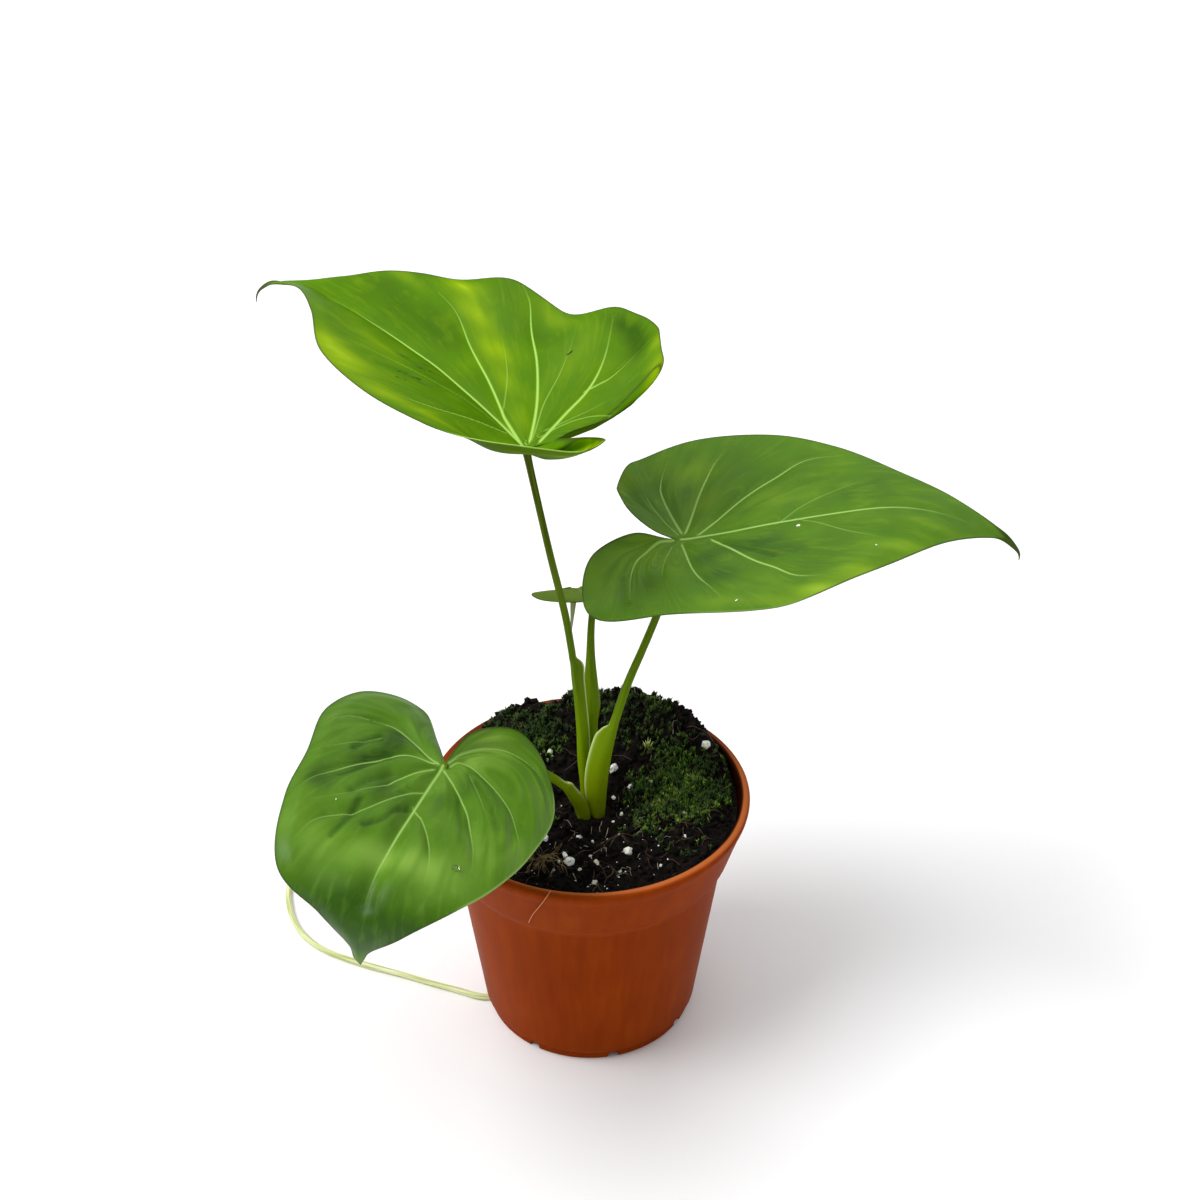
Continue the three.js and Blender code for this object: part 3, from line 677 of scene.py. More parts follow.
# x, y and radius of the grains that show
SEEN_GRAINS = np.array([
    (38.8, 19.2, 1.6), (8.0, 9.2, 1.85), (-13.1, 16, 1.0), (-13.9, 14.2, 0.7), (-3.3, -18.6, 1.3),
    (-13.9, -20.4, 1.6), (-18.2, -24.4, 1.3), (-7.6, -26.9, 1.1), (-6.2, -30.6, 1.9), (-2.9, -34, 0.7),
    (1.8, -40, 1.6), (2.4, -33, 1.1), (0.6, -28.1, 0.7), (12.4, -27.1, 1.35), (9.4, -36.8, 0.7),
    (9.9, -33.3, 0.6), (7.9, 0.9, 0.8), (10.6, -6.6, 0.8), (9.6, -15.1, 0.5), (13.6, 3.2, 1.2),
    (20.6, 5.9, 0.9), (31, -8.4, 1.3), (38.5, -5.4, 0.9), (30.9, -18.6, 0.8), (21.9, -18.1, 0.8),
    (33.8, -15.1, 0.6), (22.6, -32.6, 0.5), (1.2, -20.4, 0.6), (-9.5, -29.6, 0.8), (14.5, 41, 1.0),
])
SMALL_GRAINS = 110
grain_draw = np.random.default_rng(8)
seen = np.column_stack(
    [SEEN_GRAINS[:, :2], crumbled(SEEN_GRAINS[:, 0], SEEN_GRAINS[:, 1]) + 0.35 * SEEN_GRAINS[:, 2]]
)
flecks = on_mix(SMALL_GRAINS, 9, lambda x, y: 0.12 + 0.88 * (y < 2) * (x < 26))
fleck_size = grain_draw.uniform(0.13, 0.36, len(flecks)) + 0.35 * grain_draw.uniform(0, 1, len(flecks)) ** 8
flecks[:, 2] += 0.3 * fleck_size
grain_places = np.vstack([seen, flecks])
grain_radii = np.concatenate([SEEN_GRAINS[:, 2], fleck_size])
grain_sizes = grain_radii[:, None] * grain_draw.uniform(0.55, 1.12, (len(grain_places), 3))
grain_points, grain_faces = scattered(solid_ball(2), grain_places, grain_sizes, 10, 0.2)
make_piece("perlite_grains", grain_points, [grain_faces], [PERLITE], "peat", crisp=True)

# %% [markdown]
# ## Tubes
# Stalks, roots and fibres are all tubes: a ring of points carried along a smooth route. The ring can be
# wider on one side than on the other, which is how the sheath at the foot of a stalk is made.

# %% A tube along a route
def tube(route, left, right, deep, sides, front, thin=0.0):
    """Rings along a route: each point is the middle plus across times left or right times cos v plus
    depth times sin v, where thin flattens the ring towards its sides.
    """
    route = np.asarray(route, float)
    along = np.gradient(route, axis=0)
    along /= np.linalg.norm(along, axis=1, keepdims=True)
    across = np.cross(along, front)
    across /= np.linalg.norm(across, axis=1, keepdims=True)
    depth = np.cross(across, along)
    v = np.linspace(0, 2 * np.pi, sides, endpoint=False)[None, :]
    wide = np.where(np.cos(v) > 0, np.asarray(right)[:, None], np.asarray(left)[:, None]) * np.cos(v)
    thick = -np.asarray(deep)[:, None] * np.sin(v) * (1 - np.asarray(thin).reshape(-1, 1) * np.cos(v) ** 2)
    return route[:, None] + across[:, None] * wide[:, :, None] + depth[:, None] * thick[:, :, None]


def closed_tube(rings):
    """Points and faces of a tube with a middle point at each end."""
    count, sides = rings.shape[:2]
    points = np.vstack([rings.reshape(-1, 3), rings[0].mean(0), rings[-1].mean(0)])
    ring = np.arange(sides)
    faces = [
        grid_faces(count, sides, around=True)[:, ::-1],
        fan_faces(ring, count * sides),
        fan_faces(ring + (count - 1) * sides, count * sides + 1, flip=True),
    ]
    return points, faces


def joined_tubes(all_rings):
    """Points and faces of several closed tubes as one mesh."""
    points, faces, base = [], [], 0
    for rings in all_rings:
        some, their_faces = closed_tube(rings)
        points.append(some)
        faces += [part + base for part in their_faces]
        base += len(some)
    return np.vstack(points), faces


def flow_on_tube(radius, far, sides):
    """Millimetres around and along a tube for each of its points, and for the two ends."""
    around = np.linspace(0, 2 * np.pi, sides, endpoint=False)[None, :] * radius
    along = far[:, None] + 0 * around
    flow = np.stack([around + 0 * along, along, 0 * along], -1)
    return np.vstack([flow.reshape(-1, 3), flow[[0, -1], 0]])


print("a tube of 4 rings has", len(closed_tube(np.ones((4, 6, 3)))[0]), "points")

# %% [markdown]
# ## Fibres and fine roots
# Pale root hairs, brown peat fibres and a few bundles of coir lie on the mix. Each is a thin tube whose
# route wanders over the surface, because a hair system would not survive the export.

# %% Fibres on the mix
def fibre(name, colour, dark):
    """Dry plant fibre: dull, with lighter and darker stretches along it."""
    material, tree, shader = new_material(name, Roughness=0.6, IOR=1.45)
    place = add_node(tree, "TexCoord").outputs["Object"]
    stretch = add_node(tree, "TexNoise", {"Vector": place, "Scale": 350, "Detail": 2})
    ramp = add_node(tree, "ValToRGB", {"Fac": stretch}, stops=[(0.35, dark), (0.65, colour)])
    tree.links.new(ramp.outputs[0], shader.inputs["Base Color"])
    return material


FIBRE_STEPS = 12
FIBRE_REACH = 47.2
STREWN_REACH = 44


def laid_fibres(starts, ends, seed, radii):
    """Thin tubes over the mix: each route runs from its start to its end, bows to one side and up, and
    keeps above the surface.
    """
    draw = np.random.default_rng(seed)
    all_rings = []
    share = np.linspace(0, 1, FIBRE_STEPS)
    for start, end in zip(starts, ends):
        span = end - start
        aside = np.array([-span[1], span[0]])
        bow = (
            draw.normal(0, 0.13) * np.sin(np.pi * share)
            + draw.normal(0, 0.06) * np.sin(2 * np.pi * share)
        )
        flat = start + span * share[:, None] + aside * bow[:, None]
        flat *= np.minimum(1, FIBRE_REACH / np.hypot(*flat.T))[:, None]
        arch = np.sin(np.pi * share) * draw.uniform(0.2, 1.4)
        height = crumbled(*flat.T) + arch + 0.15
        height = np.convolve(np.pad(height, 1, "edge"), [0.25, 0.5, 0.25], "valid")
        size = draw.uniform(*radii) * (1 - 0.5 * share)
        route = np.column_stack([flat, height])
        all_rings.append(tube(route, size, size, size, 5, (0.0, 0.0, 1.0)))
    return joined_tubes(all_rings)


def strewn(count, seed, length, keep):
    """Random starts on the mix, and ends at a random length and direction from them."""
    draw = np.random.default_rng(seed)
    starts = on_mix(count, seed, keep, STREWN_REACH)[:, :2]
    turn = draw.uniform(0, 2 * np.pi, len(starts))
    reach = draw.uniform(*length, len(starts))
    return starts, starts + np.column_stack([np.cos(turn), np.sin(turn)]) * reach[:, None]


PALE_FIBRE = fibre("root hair dry", "#b9b49c", "#6b6452")
BROWN_FIBRE = fibre("peat fibre", "#5c4630", "#22170f")
TAN_FIBRE = fibre("coir fibre", "#8c7440", "#4a3517")
# start x, y and end x, y of the pale ones that show
SEEN_HAIRS = np.array([
    (-9.2, -8.1, -5.5, -13.7), (-7.5, -11.7, -4.9, -17.6), (11, -31.2, 13.4, -37.8),
    (-11.5, -37.8, -11.3, -32.1), (-4.4, -34, -3.7, -40.6), (4.1, -10.6, 3.5, -16.6),
    (15, -13.7, 16.6, -15.1), (27.8, 21, 29.6, 26.6), (21.8, 19.3, 20, 12.8),
    (14.4, -16.4, 17.8, -16.9), (14.2, -18.6, 17.4, -18), (0.8, -13.6, 0.6, -17.4),
])
# the same of the brown ones, and then of the bundles of coir
SEEN_BUNDLES = np.array([
    (2.8, -22.5, 16.5, -19.1), (3.5, -20.6, 15, -15.6), (7.3, -18.1, 16.2, -21.5),
    (6.6, -25.4, 16.3, -17.1), (3.5, -23.5, 8.2, -19.6), (4.2, -19.2, 13.2, -22.4),
])
SEEN_COIR = np.array([
    (-19.1, -33.1, -14, -25.4), (-16.9, -35, -10.2, -23), (-18.6, -27.8, -11.6, -34),
    (-13.7, -35.9, -9.2, -25.4), (-15.4, -29.3, -18.4, -35.9), (-20.5, -30, -16, -22),
    (-12, -30, -8, -36), (-17, -30, -12, -27),
])
COIR_STRANDS = 4
COIR_SPREAD = 1.2
SMALL_HAIRS = 26
SMALL_FIBRES = 90
small_starts, small_ends = strewn(SMALL_HAIRS, 21, (1.5, 6), lambda x, y: 0.1 + 0.9 * (y < -4))
hair_starts = np.vstack([SEEN_HAIRS[:, :2], small_starts])
hair_ends = np.vstack([SEEN_HAIRS[:, 2:], small_ends])
pale_points, pale_faces = laid_fibres(hair_starts, hair_ends, 23, (0.09, 0.17))
make_piece("root_hairs", pale_points, pale_faces, [PALE_FIBRE], "root_pale")
dark_starts, dark_ends = strewn(SMALL_FIBRES, 22, (4, 11), lambda x, y: 0.5 + 0.5 * (y < 0))
peat_starts = np.vstack([SEEN_BUNDLES[:, :2], dark_starts])
peat_ends = np.vstack([SEEN_BUNDLES[:, 2:], dark_ends])
brown_points, brown_faces = laid_fibres(peat_starts, peat_ends, 24, (0.1, 0.24))
make_piece("peat_fibres", brown_points, brown_faces, [BROWN_FIBRE], "peat")
coir = np.repeat(SEEN_COIR, COIR_STRANDS, 0)
coir_starts = coir[:, :2] + np.random.default_rng(25).normal(0, COIR_SPREAD, (len(coir), 2))
coir_ends = coir[:, 2:] + np.random.default_rng(26).normal(0, COIR_SPREAD, (len(coir), 2))
tan_points, tan_faces = laid_fibres(coir_starts, coir_ends, 27, (0.1, 0.2))
make_piece("coir_fibres", tan_points, tan_faces, [TAN_FIBRE], "peat")

# %% [markdown]
# ## Moss
# The moss is a low turf of upright shoots, each a tuft of tiny pointed leaves. Only the turf's texture
# can be seen, so a leaf is a three-sided spike of four faces, and a tuft is nine of them.

# %% Moss shoots
def moss():
    """Living moss: moist and soft, dark green at its foot and yellow-green at the tips."""
    material, tree, shader = new_material("moss living", Roughness=0.7, IOR=1.4)
    tip = add_node(tree, "Attribute", attribute_name="tip")
    place = add_node(tree, "TexCoord").outputs["Object"]
    patch = add_node(tree, "TexNoise", {"Vector": place, "Scale": 160, "Detail": 2})
    dark = add_node(
        tree, "ValToRGB", {"Fac": tip.outputs["Fac"]},
        stops=[(0.0, "#0b1204"), (0.45, "#37590a"), (0.9, "#7fae1e")],
    )
    light = add_node(
        tree, "ValToRGB", {"Fac": tip.outputs["Fac"]},
        stops=[(0.0, "#141c06"), (0.45, "#5e7a1e"), (0.9, "#b4c860")],
    )
    choice = add_node(tree, "MapRange", {"Value": patch, "From Min": 0.45, "From Max": 0.65})
    mixed = add_node(tree, "Mix", {0: choice, 6: dark, 7: light}, data_type="RGBA")
    tree.links.new(mixed.outputs[2], shader.inputs["Base Color"])
    return material


def spikes(feet, directions, lengths, widths):
    """Three-sided spikes: three foot corners round the direction and one tip at its end."""
    directions = directions / np.linalg.norm(directions, axis=1, keepdims=True)
    aside = np.cross(directions, [0.31, 0.52, 0.79])
    aside /= np.linalg.norm(aside, axis=1, keepdims=True)
    other = np.cross(directions, aside)
    turn = np.radians([0, 120, 240])[None, :, None]
    corners = (
        feet[:, None]
        + widths[:, None, None] * (aside[:, None] * np.cos(turn) + other[:, None] * np.sin(turn))
    )
    tips = (feet + directions * lengths[:, None])[:, None]
    points = np.concatenate([corners, tips], 1)
    faces = np.array([[0, 1, 3], [1, 2, 3], [2, 0, 3], [2, 1, 0]])
    return points.reshape(-1, 3), (faces[None] + (np.arange(len(feet)) * 4)[:, None, None]).reshape(-1, 3)


MOSS = moss()
SHOOTS = 2600
LEAVES_A_SHOOT = 9
moss_draw = np.random.default_rng(31)
shoot_feet = on_mix(SHOOTS, 32, lambda x, y: moss_cover(x, y) ** 1.5)
shoot_tall = (
    moss_draw.uniform(0.6, 3.2, len(shoot_feet)) * (0.5 + 0.6 * np.abs(lumps(shoot_feet[:, :2], 5, 33)))
)
shoot_light = 0.3 + 0.7 * moss_draw.uniform(0, 1, len(shoot_feet)) ** 1.5
shoot_light *= (
    (0.85 + 0.5 * lumps(shoot_feet[:, :2], 4, 34)).clip(0.25, 1)
    * (1 - 0.4 * smooth((shoot_feet[:, 1] - 10) / 14))
)
feet = np.repeat(shoot_feet, LEAVES_A_SHOOT, 0)
level = np.tile(np.linspace(0, 0.8, LEAVES_A_SHOOT), len(shoot_feet))
feet[:, 2] += level * np.repeat(shoot_tall, LEAVES_A_SHOOT) - 0.15
lean = moss_draw.uniform(0, 2 * np.pi, len(feet))
spread = 0.25 + 0.75 * (1 - level)
ways = np.column_stack([spread * np.cos(lean), spread * np.sin(lean), 0.7 + 0.6 * level])
moss_points, moss_faces = spikes(
    feet, ways, moss_draw.uniform(0.9, 2.1, len(feet)), moss_draw.uniform(0.24, 0.46, len(feet))
)
moss_tip = (
    (np.tile([0.0, 0.0, 0.0, 1.0], len(feet)) * 0.5 + np.repeat(level, 4) * 0.6)
    * np.repeat(shoot_light, 4 * LEAVES_A_SHOOT)
)
make_piece("moss_turf", moss_points, [moss_faces], [MOSS], "peat", values={"tip": moss_tip})

# %% [markdown]
# ## Stalks and stem
# Each leaf stalk is smooth, waxy and yellow-green. Its foot widens into a sheath with thin pale edges
# that clasped the next leaf, and the sheath stops at a blunt tip. So each stalk is one tube whose left
# and right half widths are given apart at every stop, and an attribute marks the pale edge.

# %% Waxy green stalk
def stalk_skin():
    """Waxy plant skin: satin, with fine lengthwise ribs and a pale thin edge on the sheath. It is
    yellow-green at the foot, its own colour, and darker olive above, partly painted shade from the leaves
    over it.
    """
    material, tree, shader = new_material("stalk waxy", IOR=1.45, Specular_IOR_Level=0.05)
    flow = add_node(tree, "Attribute", attribute_name="flow")
    stretched = add_node(tree, "Mapping", {"Vector": flow.outputs["Vector"], "Scale": (2.2, 0.05, 1)})
    rib = add_node(tree, "TexNoise", {"Vector": stretched, "Scale": 1, "Detail": 3})
    rise = add_node(tree, "Attribute", attribute_name="rise")
    # the yellow-green foot is the stalk's own colour; the darkening towards the top is partly painted shade
    colour = add_node(
        tree, "ValToRGB", {"Fac": rise.outputs["Fac"]},
        stops=[(0.0, "#8c9e02"), (0.2, "#6f8e02"), (0.42, "#4f6c04"), (1.0, "#3e480c")],
    )
    shade = add_node(tree, "MapRange", {"Value": rib, "From Min": 0.35, "From Max": 0.65, "To Max": 0.3})
    ribbed = add_node(tree, "Mix", {0: shade, 6: colour, 7: linear("#86a01c")}, data_type="RGBA")
    edge = add_node(tree, "Attribute", attribute_name="edge")
    pale = add_node(
        tree, "Mix", {0: edge.outputs["Fac"], 6: ribbed.outputs[2], 7: linear("#c6d888")},
        data_type="RGBA",
    )
    tree.links.new(pale.outputs[2], shader.inputs["Base Color"])
    rough = add_node(tree, "MapRange", {"Value": rib, "To Min": 0.3, "To Max": 0.5})
    tree.links.new(rough.outputs[0], shader.inputs["Roughness"])
    bump = add_node(tree, "Bump", {"Height": rib, "Strength": 0.4, "Distance": 0.0002})
    tree.links.new(bump.outputs[0], shader.inputs["Normal"])
    return material


STALK_SKIN = stalk_skin()
print("made", STALK_SKIN.name)

# %% The four stalks
# Each stop: x, y, z, left half width, right half width, half depth, pale left edge, pale right edge
STALKS = {
    "tall": [
        (-0.9, -0.8, 79.2, 1.7, 1.7, 1.6, 0, 0), (-1.2, -1, 90, 1.8, 1.8, 1.7, 0, 0),
        (-1.8, -1, 101, 2, 2.1, 1.7, 0, 0.5), (-2.3, -1.6, 112, 1.7, 2.5, 1.7, 0, 0.9),
        (-3.1, -2.6, 124, 1.5, 2.5, 1.5, 0, 1), (-4.0, -3.5, 134, 1.4, 2.7, 1.4, 0, 1),
        (-4.4, -4.0, 139.6, 1.3, 2.9, 1.3, 0, 1), (-4.9, -4.2, 142.5, 1.2, 1.3, 1.2, 0, 0.6),
        (-5.3, -4.5, 146, 1.15, 1.15, 1.2, 0, 0), (-7.2, -5.3, 160, 1.15, 1.15, 1.2, 0, 0),
        (-11.0, -6, 179.5, 1.1, 1.1, 1.15, 0, 0), (-14, -6.5, 196, 1.05, 1.05, 1.1, 0, 0),
        (-17.2, -7, 214.4, 1.15, 1.15, 1.15, 0, 0), (-17.5, -7, 217.2, 1.7, 1.7, 1.5, 0, 0),
    ],
    "right": [
        (3.0, -4.9, 79.2, 2.2, 2, 1.9, 0, 0), (2.6, -5.6, 86, 3.2, 2.8, 2, 0.3, 0),
        (2.6, -6.1, 93, 4.1, 3.2, 2, 0.9, 0), (3.4, -6.2, 100, 4.6, 3, 1.9, 1, 0),
        (5.0, -5.9, 107, 4.9, 2.4, 1.8, 1, 0), (6.7, -5.2, 112.3, 4.9, 1.7, 1.6, 1, 0),
        (7.3, -4.9, 114.7, 3.7, 1.6, 1.5, 1, 0), (7.8, -4.7, 116.4, 2.2, 1.5, 1.4, 1, 0),
        (8.3, -4.3, 118.7, 1.45, 1.45, 1.4, 0, 0), (12.1, -2.4, 131.3, 1.35, 1.35, 1.35, 0, 0),
        (16.8, -0.6, 143.5, 1.25, 1.25, 1.25, 0, 0), (21.0, 0.9, 155, 1.2, 1.2, 1.2, 0, 0),
        (25.1, 2.3, 168, 1.1, 1.1, 1.1, 0, 0), (28.0, 3.5, 177.4, 1.2, 1.2, 1.15, 0, 0),
        (28.4, 3.6, 180.2, 1.8, 1.8, 1.6, 0, 0),
    ],
    "low": [
        (-1.6, -6, 79.2, 1.9, 2.3, 1.8, 0, 0), (-2.7, -6.7, 85, 2.1, 2.8, 1.9, 0, 0),
        (-4.6, -8, 90, 1.8, 2.9, 2, 0, 0.3), (-6.6, -9.6, 94.6, 1.5, 2.6, 1.8, 0, 0.9),
        (-7.7, -10.5, 96.8, 1.4, 2.8, 1.7, 0, 1), (-8.7, -11.4, 98.4, 1.35, 1.8, 1.5, 0, 1),
        (-11.8, -14.2, 103.6, 1.35, 1.35, 1.4, 0, 0), (-18.3, -20, 112.4, 1.3, 1.3, 1.3, 0, 0),
        (-26.8, -27.8, 120.4, 1.2, 1.2, 1.2, 0, 0), (-35, -35, 124.8, 1.15, 1.15, 1.15, 0, 0),
        (-41.4, -40.8, 127.6, 1.2, 1.2, 1.2, 0, 0), (-43.1, -42.1, 129.4, 1.7, 1.7, 1.5, 0, 0),
    ],
    "young": [
        (2.4, -0.4, 79.2, 1.3, 1.3, 1.3, 0, 0), (2.4, 1.2, 90, 1.5, 1.5, 1.5, 0, 0),
        (1.4, 2.6, 102, 1.6, 1.6, 1.6, 0, 0), (0.7, 3, 112, 2.4, 2.1, 1.9, 0.2, 0),
        (0.7, 3.4, 119.5, 2.9, 2.9, 2, 0.3, 0), (0.8, 4, 127, 2.5, 2.1, 1.7, 0.2, 0),
        (0.7, 5, 137, 1.6, 1.3, 1.3, 0, 0), (0.7, 6.2, 146, 1.15, 1.15, 1.15, 0, 0),
        (1.3, 7.7, 154, 1.1, 1.1, 1.1, 0, 0), (1.5, 8, 155.9, 1.3, 1.3, 1.2, 0, 0),
    ],
}
STALK_RINGS = 220
STALK_SIDES = 32
FULL_RISE = 140
STALK_GIRTH_RADIUS = 1.5


def stalk(name, stops):
    """A tube along the stops, whose sheath is flattened towards a thin, pale edge."""
    along = through(stops, STALK_RINGS)
    pale = np.clip(along[:, 6:8], 0, 1)
    thin = 0.55 * pale.max(1)
    rings = tube(along[:, :3], along[:, 3], along[:, 4], along[:, 5], STALK_SIDES, (0.0, -1.0, 0.0), thin)
    points, faces = closed_tube(rings)
    v = np.linspace(0, 2 * np.pi, STALK_SIDES, endpoint=False)[None, :]
    near_left, near_right = smooth((-np.cos(v) - 0.8) / 0.2), smooth((np.cos(v) - 0.8) / 0.2)
    edge = pale[:, :1] * near_left + pale[:, 1:] * near_right
    length = np.cumsum(np.linalg.norm(np.diff(along[:, :3], axis=0, prepend=along[:1, :3]), axis=1))
    values = {
        "edge": np.concatenate([edge.ravel(), [0, 0]]),
        "rise": np.concatenate([np.repeat(length / FULL_RISE, STALK_SIDES), length[[0, -1]] / FULL_RISE]),
        "flow": flow_on_tube(STALK_GIRTH_RADIUS, length, STALK_SIDES),
    }
    make_piece("stalk_" + name, points, faces, [STALK_SKIN], "stalk_green", ["petiole_" + name], values)


for name, stops in STALKS.items():
    stalk(name, stops)

# %% [markdown]
# The stem is the short stock that all stalks stand on. It is almost hidden: a knobbly peg in its hole in
# the mix, ringed by old leaf scars, and domed on top between the feet of the stalks.

# %% The stem
def stem_bark():
    """Corky brown-black skin of an old stem, stained by wet peat, with olive-brown flecks."""
    material, tree, shader = new_material("stem corky", Roughness=0.85, IOR=1.4, Specular_IOR_Level=0.2)
    place = add_node(tree, "TexCoord").outputs["Object"]
    cork = add_node(tree, "TexNoise", {"Vector": place, "Scale": 500, "Detail": 5, "Roughness": 0.7})
    colour = add_node(
        tree, "ValToRGB", {"Fac": cork}, stops=[(0.35, "#080605"), (0.55, "#171310"), (0.75, "#33301c")]
    )
    tree.links.new(colour.outputs[0], shader.inputs["Base Color"])
    bump = add_node(tree, "Bump", {"Height": cork, "Strength": 0.9, "Distance": 0.0006})
    tree.links.new(bump.outputs[0], shader.inputs["Normal"])
    return material


STEM_BARK = stem_bark()


def stem_points(rings, sides):
    """A peg: radius r with low rings of scars and slow lumps, closed by a dome on top and a blunt end
    below.
    """
    u = np.linspace(0, 1, rings)[:, None]
    v = np.linspace(0, 2 * np.pi, sides, endpoint=False)[None, :]
    z = STEM_TOP - STEM_DEPTH + STEM_DEPTH * u
    radius = (
        (STEM_RADIUS - 2 * (1 - u) - STEM_GAP) * (1 - 0.03 * np.cos(u * 44))
        * (1 + 0.02 * np.sin(3 * v + 5 * u))
    )
    body = np.stack([STEM_PLACE[0] + radius * np.cos(v), STEM_PLACE[1] + radius * np.sin(v), z + 0 * v], -1)
    t = np.linspace(0.05, 0.95, 14)[:, None]
    cap_radius = radius[-1:] * np.cos(t * np.pi / 2)
    rise = 1.3 * np.sin(t * np.pi / 2)
    cap = [
        STEM_PLACE[0] + cap_radius * np.cos(v), STEM_PLACE[1] + cap_radius * np.sin(v),
        STEM_TOP + rise + 0 * v,
    ]
    return np.concatenate([body, np.stack(cap, -1)])


STEM_RINGS = 60
STEM_SIDES = 56
stem_shape, stem_faces = closed_tube(stem_points(STEM_RINGS, STEM_SIDES))
make_piece(
    "stem_stock", stem_shape, [part[:, ::-1] for part in stem_faces], [STEM_BARK], "stalk_green",
    ["stem"],
)

# %% [markdown]
# ## Leaves
# A leaf grows flat in the bud and takes its bends afterwards. It is made the same way here. The outline
# and the veins are drawn flat, in millimetres along the midrib and out from it. Then the midrib is bent
# upwards or down, each half is folded and curled about it, and the whole leaf is rolled and turned on
# its stalk. Nearly all that can be seen on a blade is worked out in those flat coordinates.

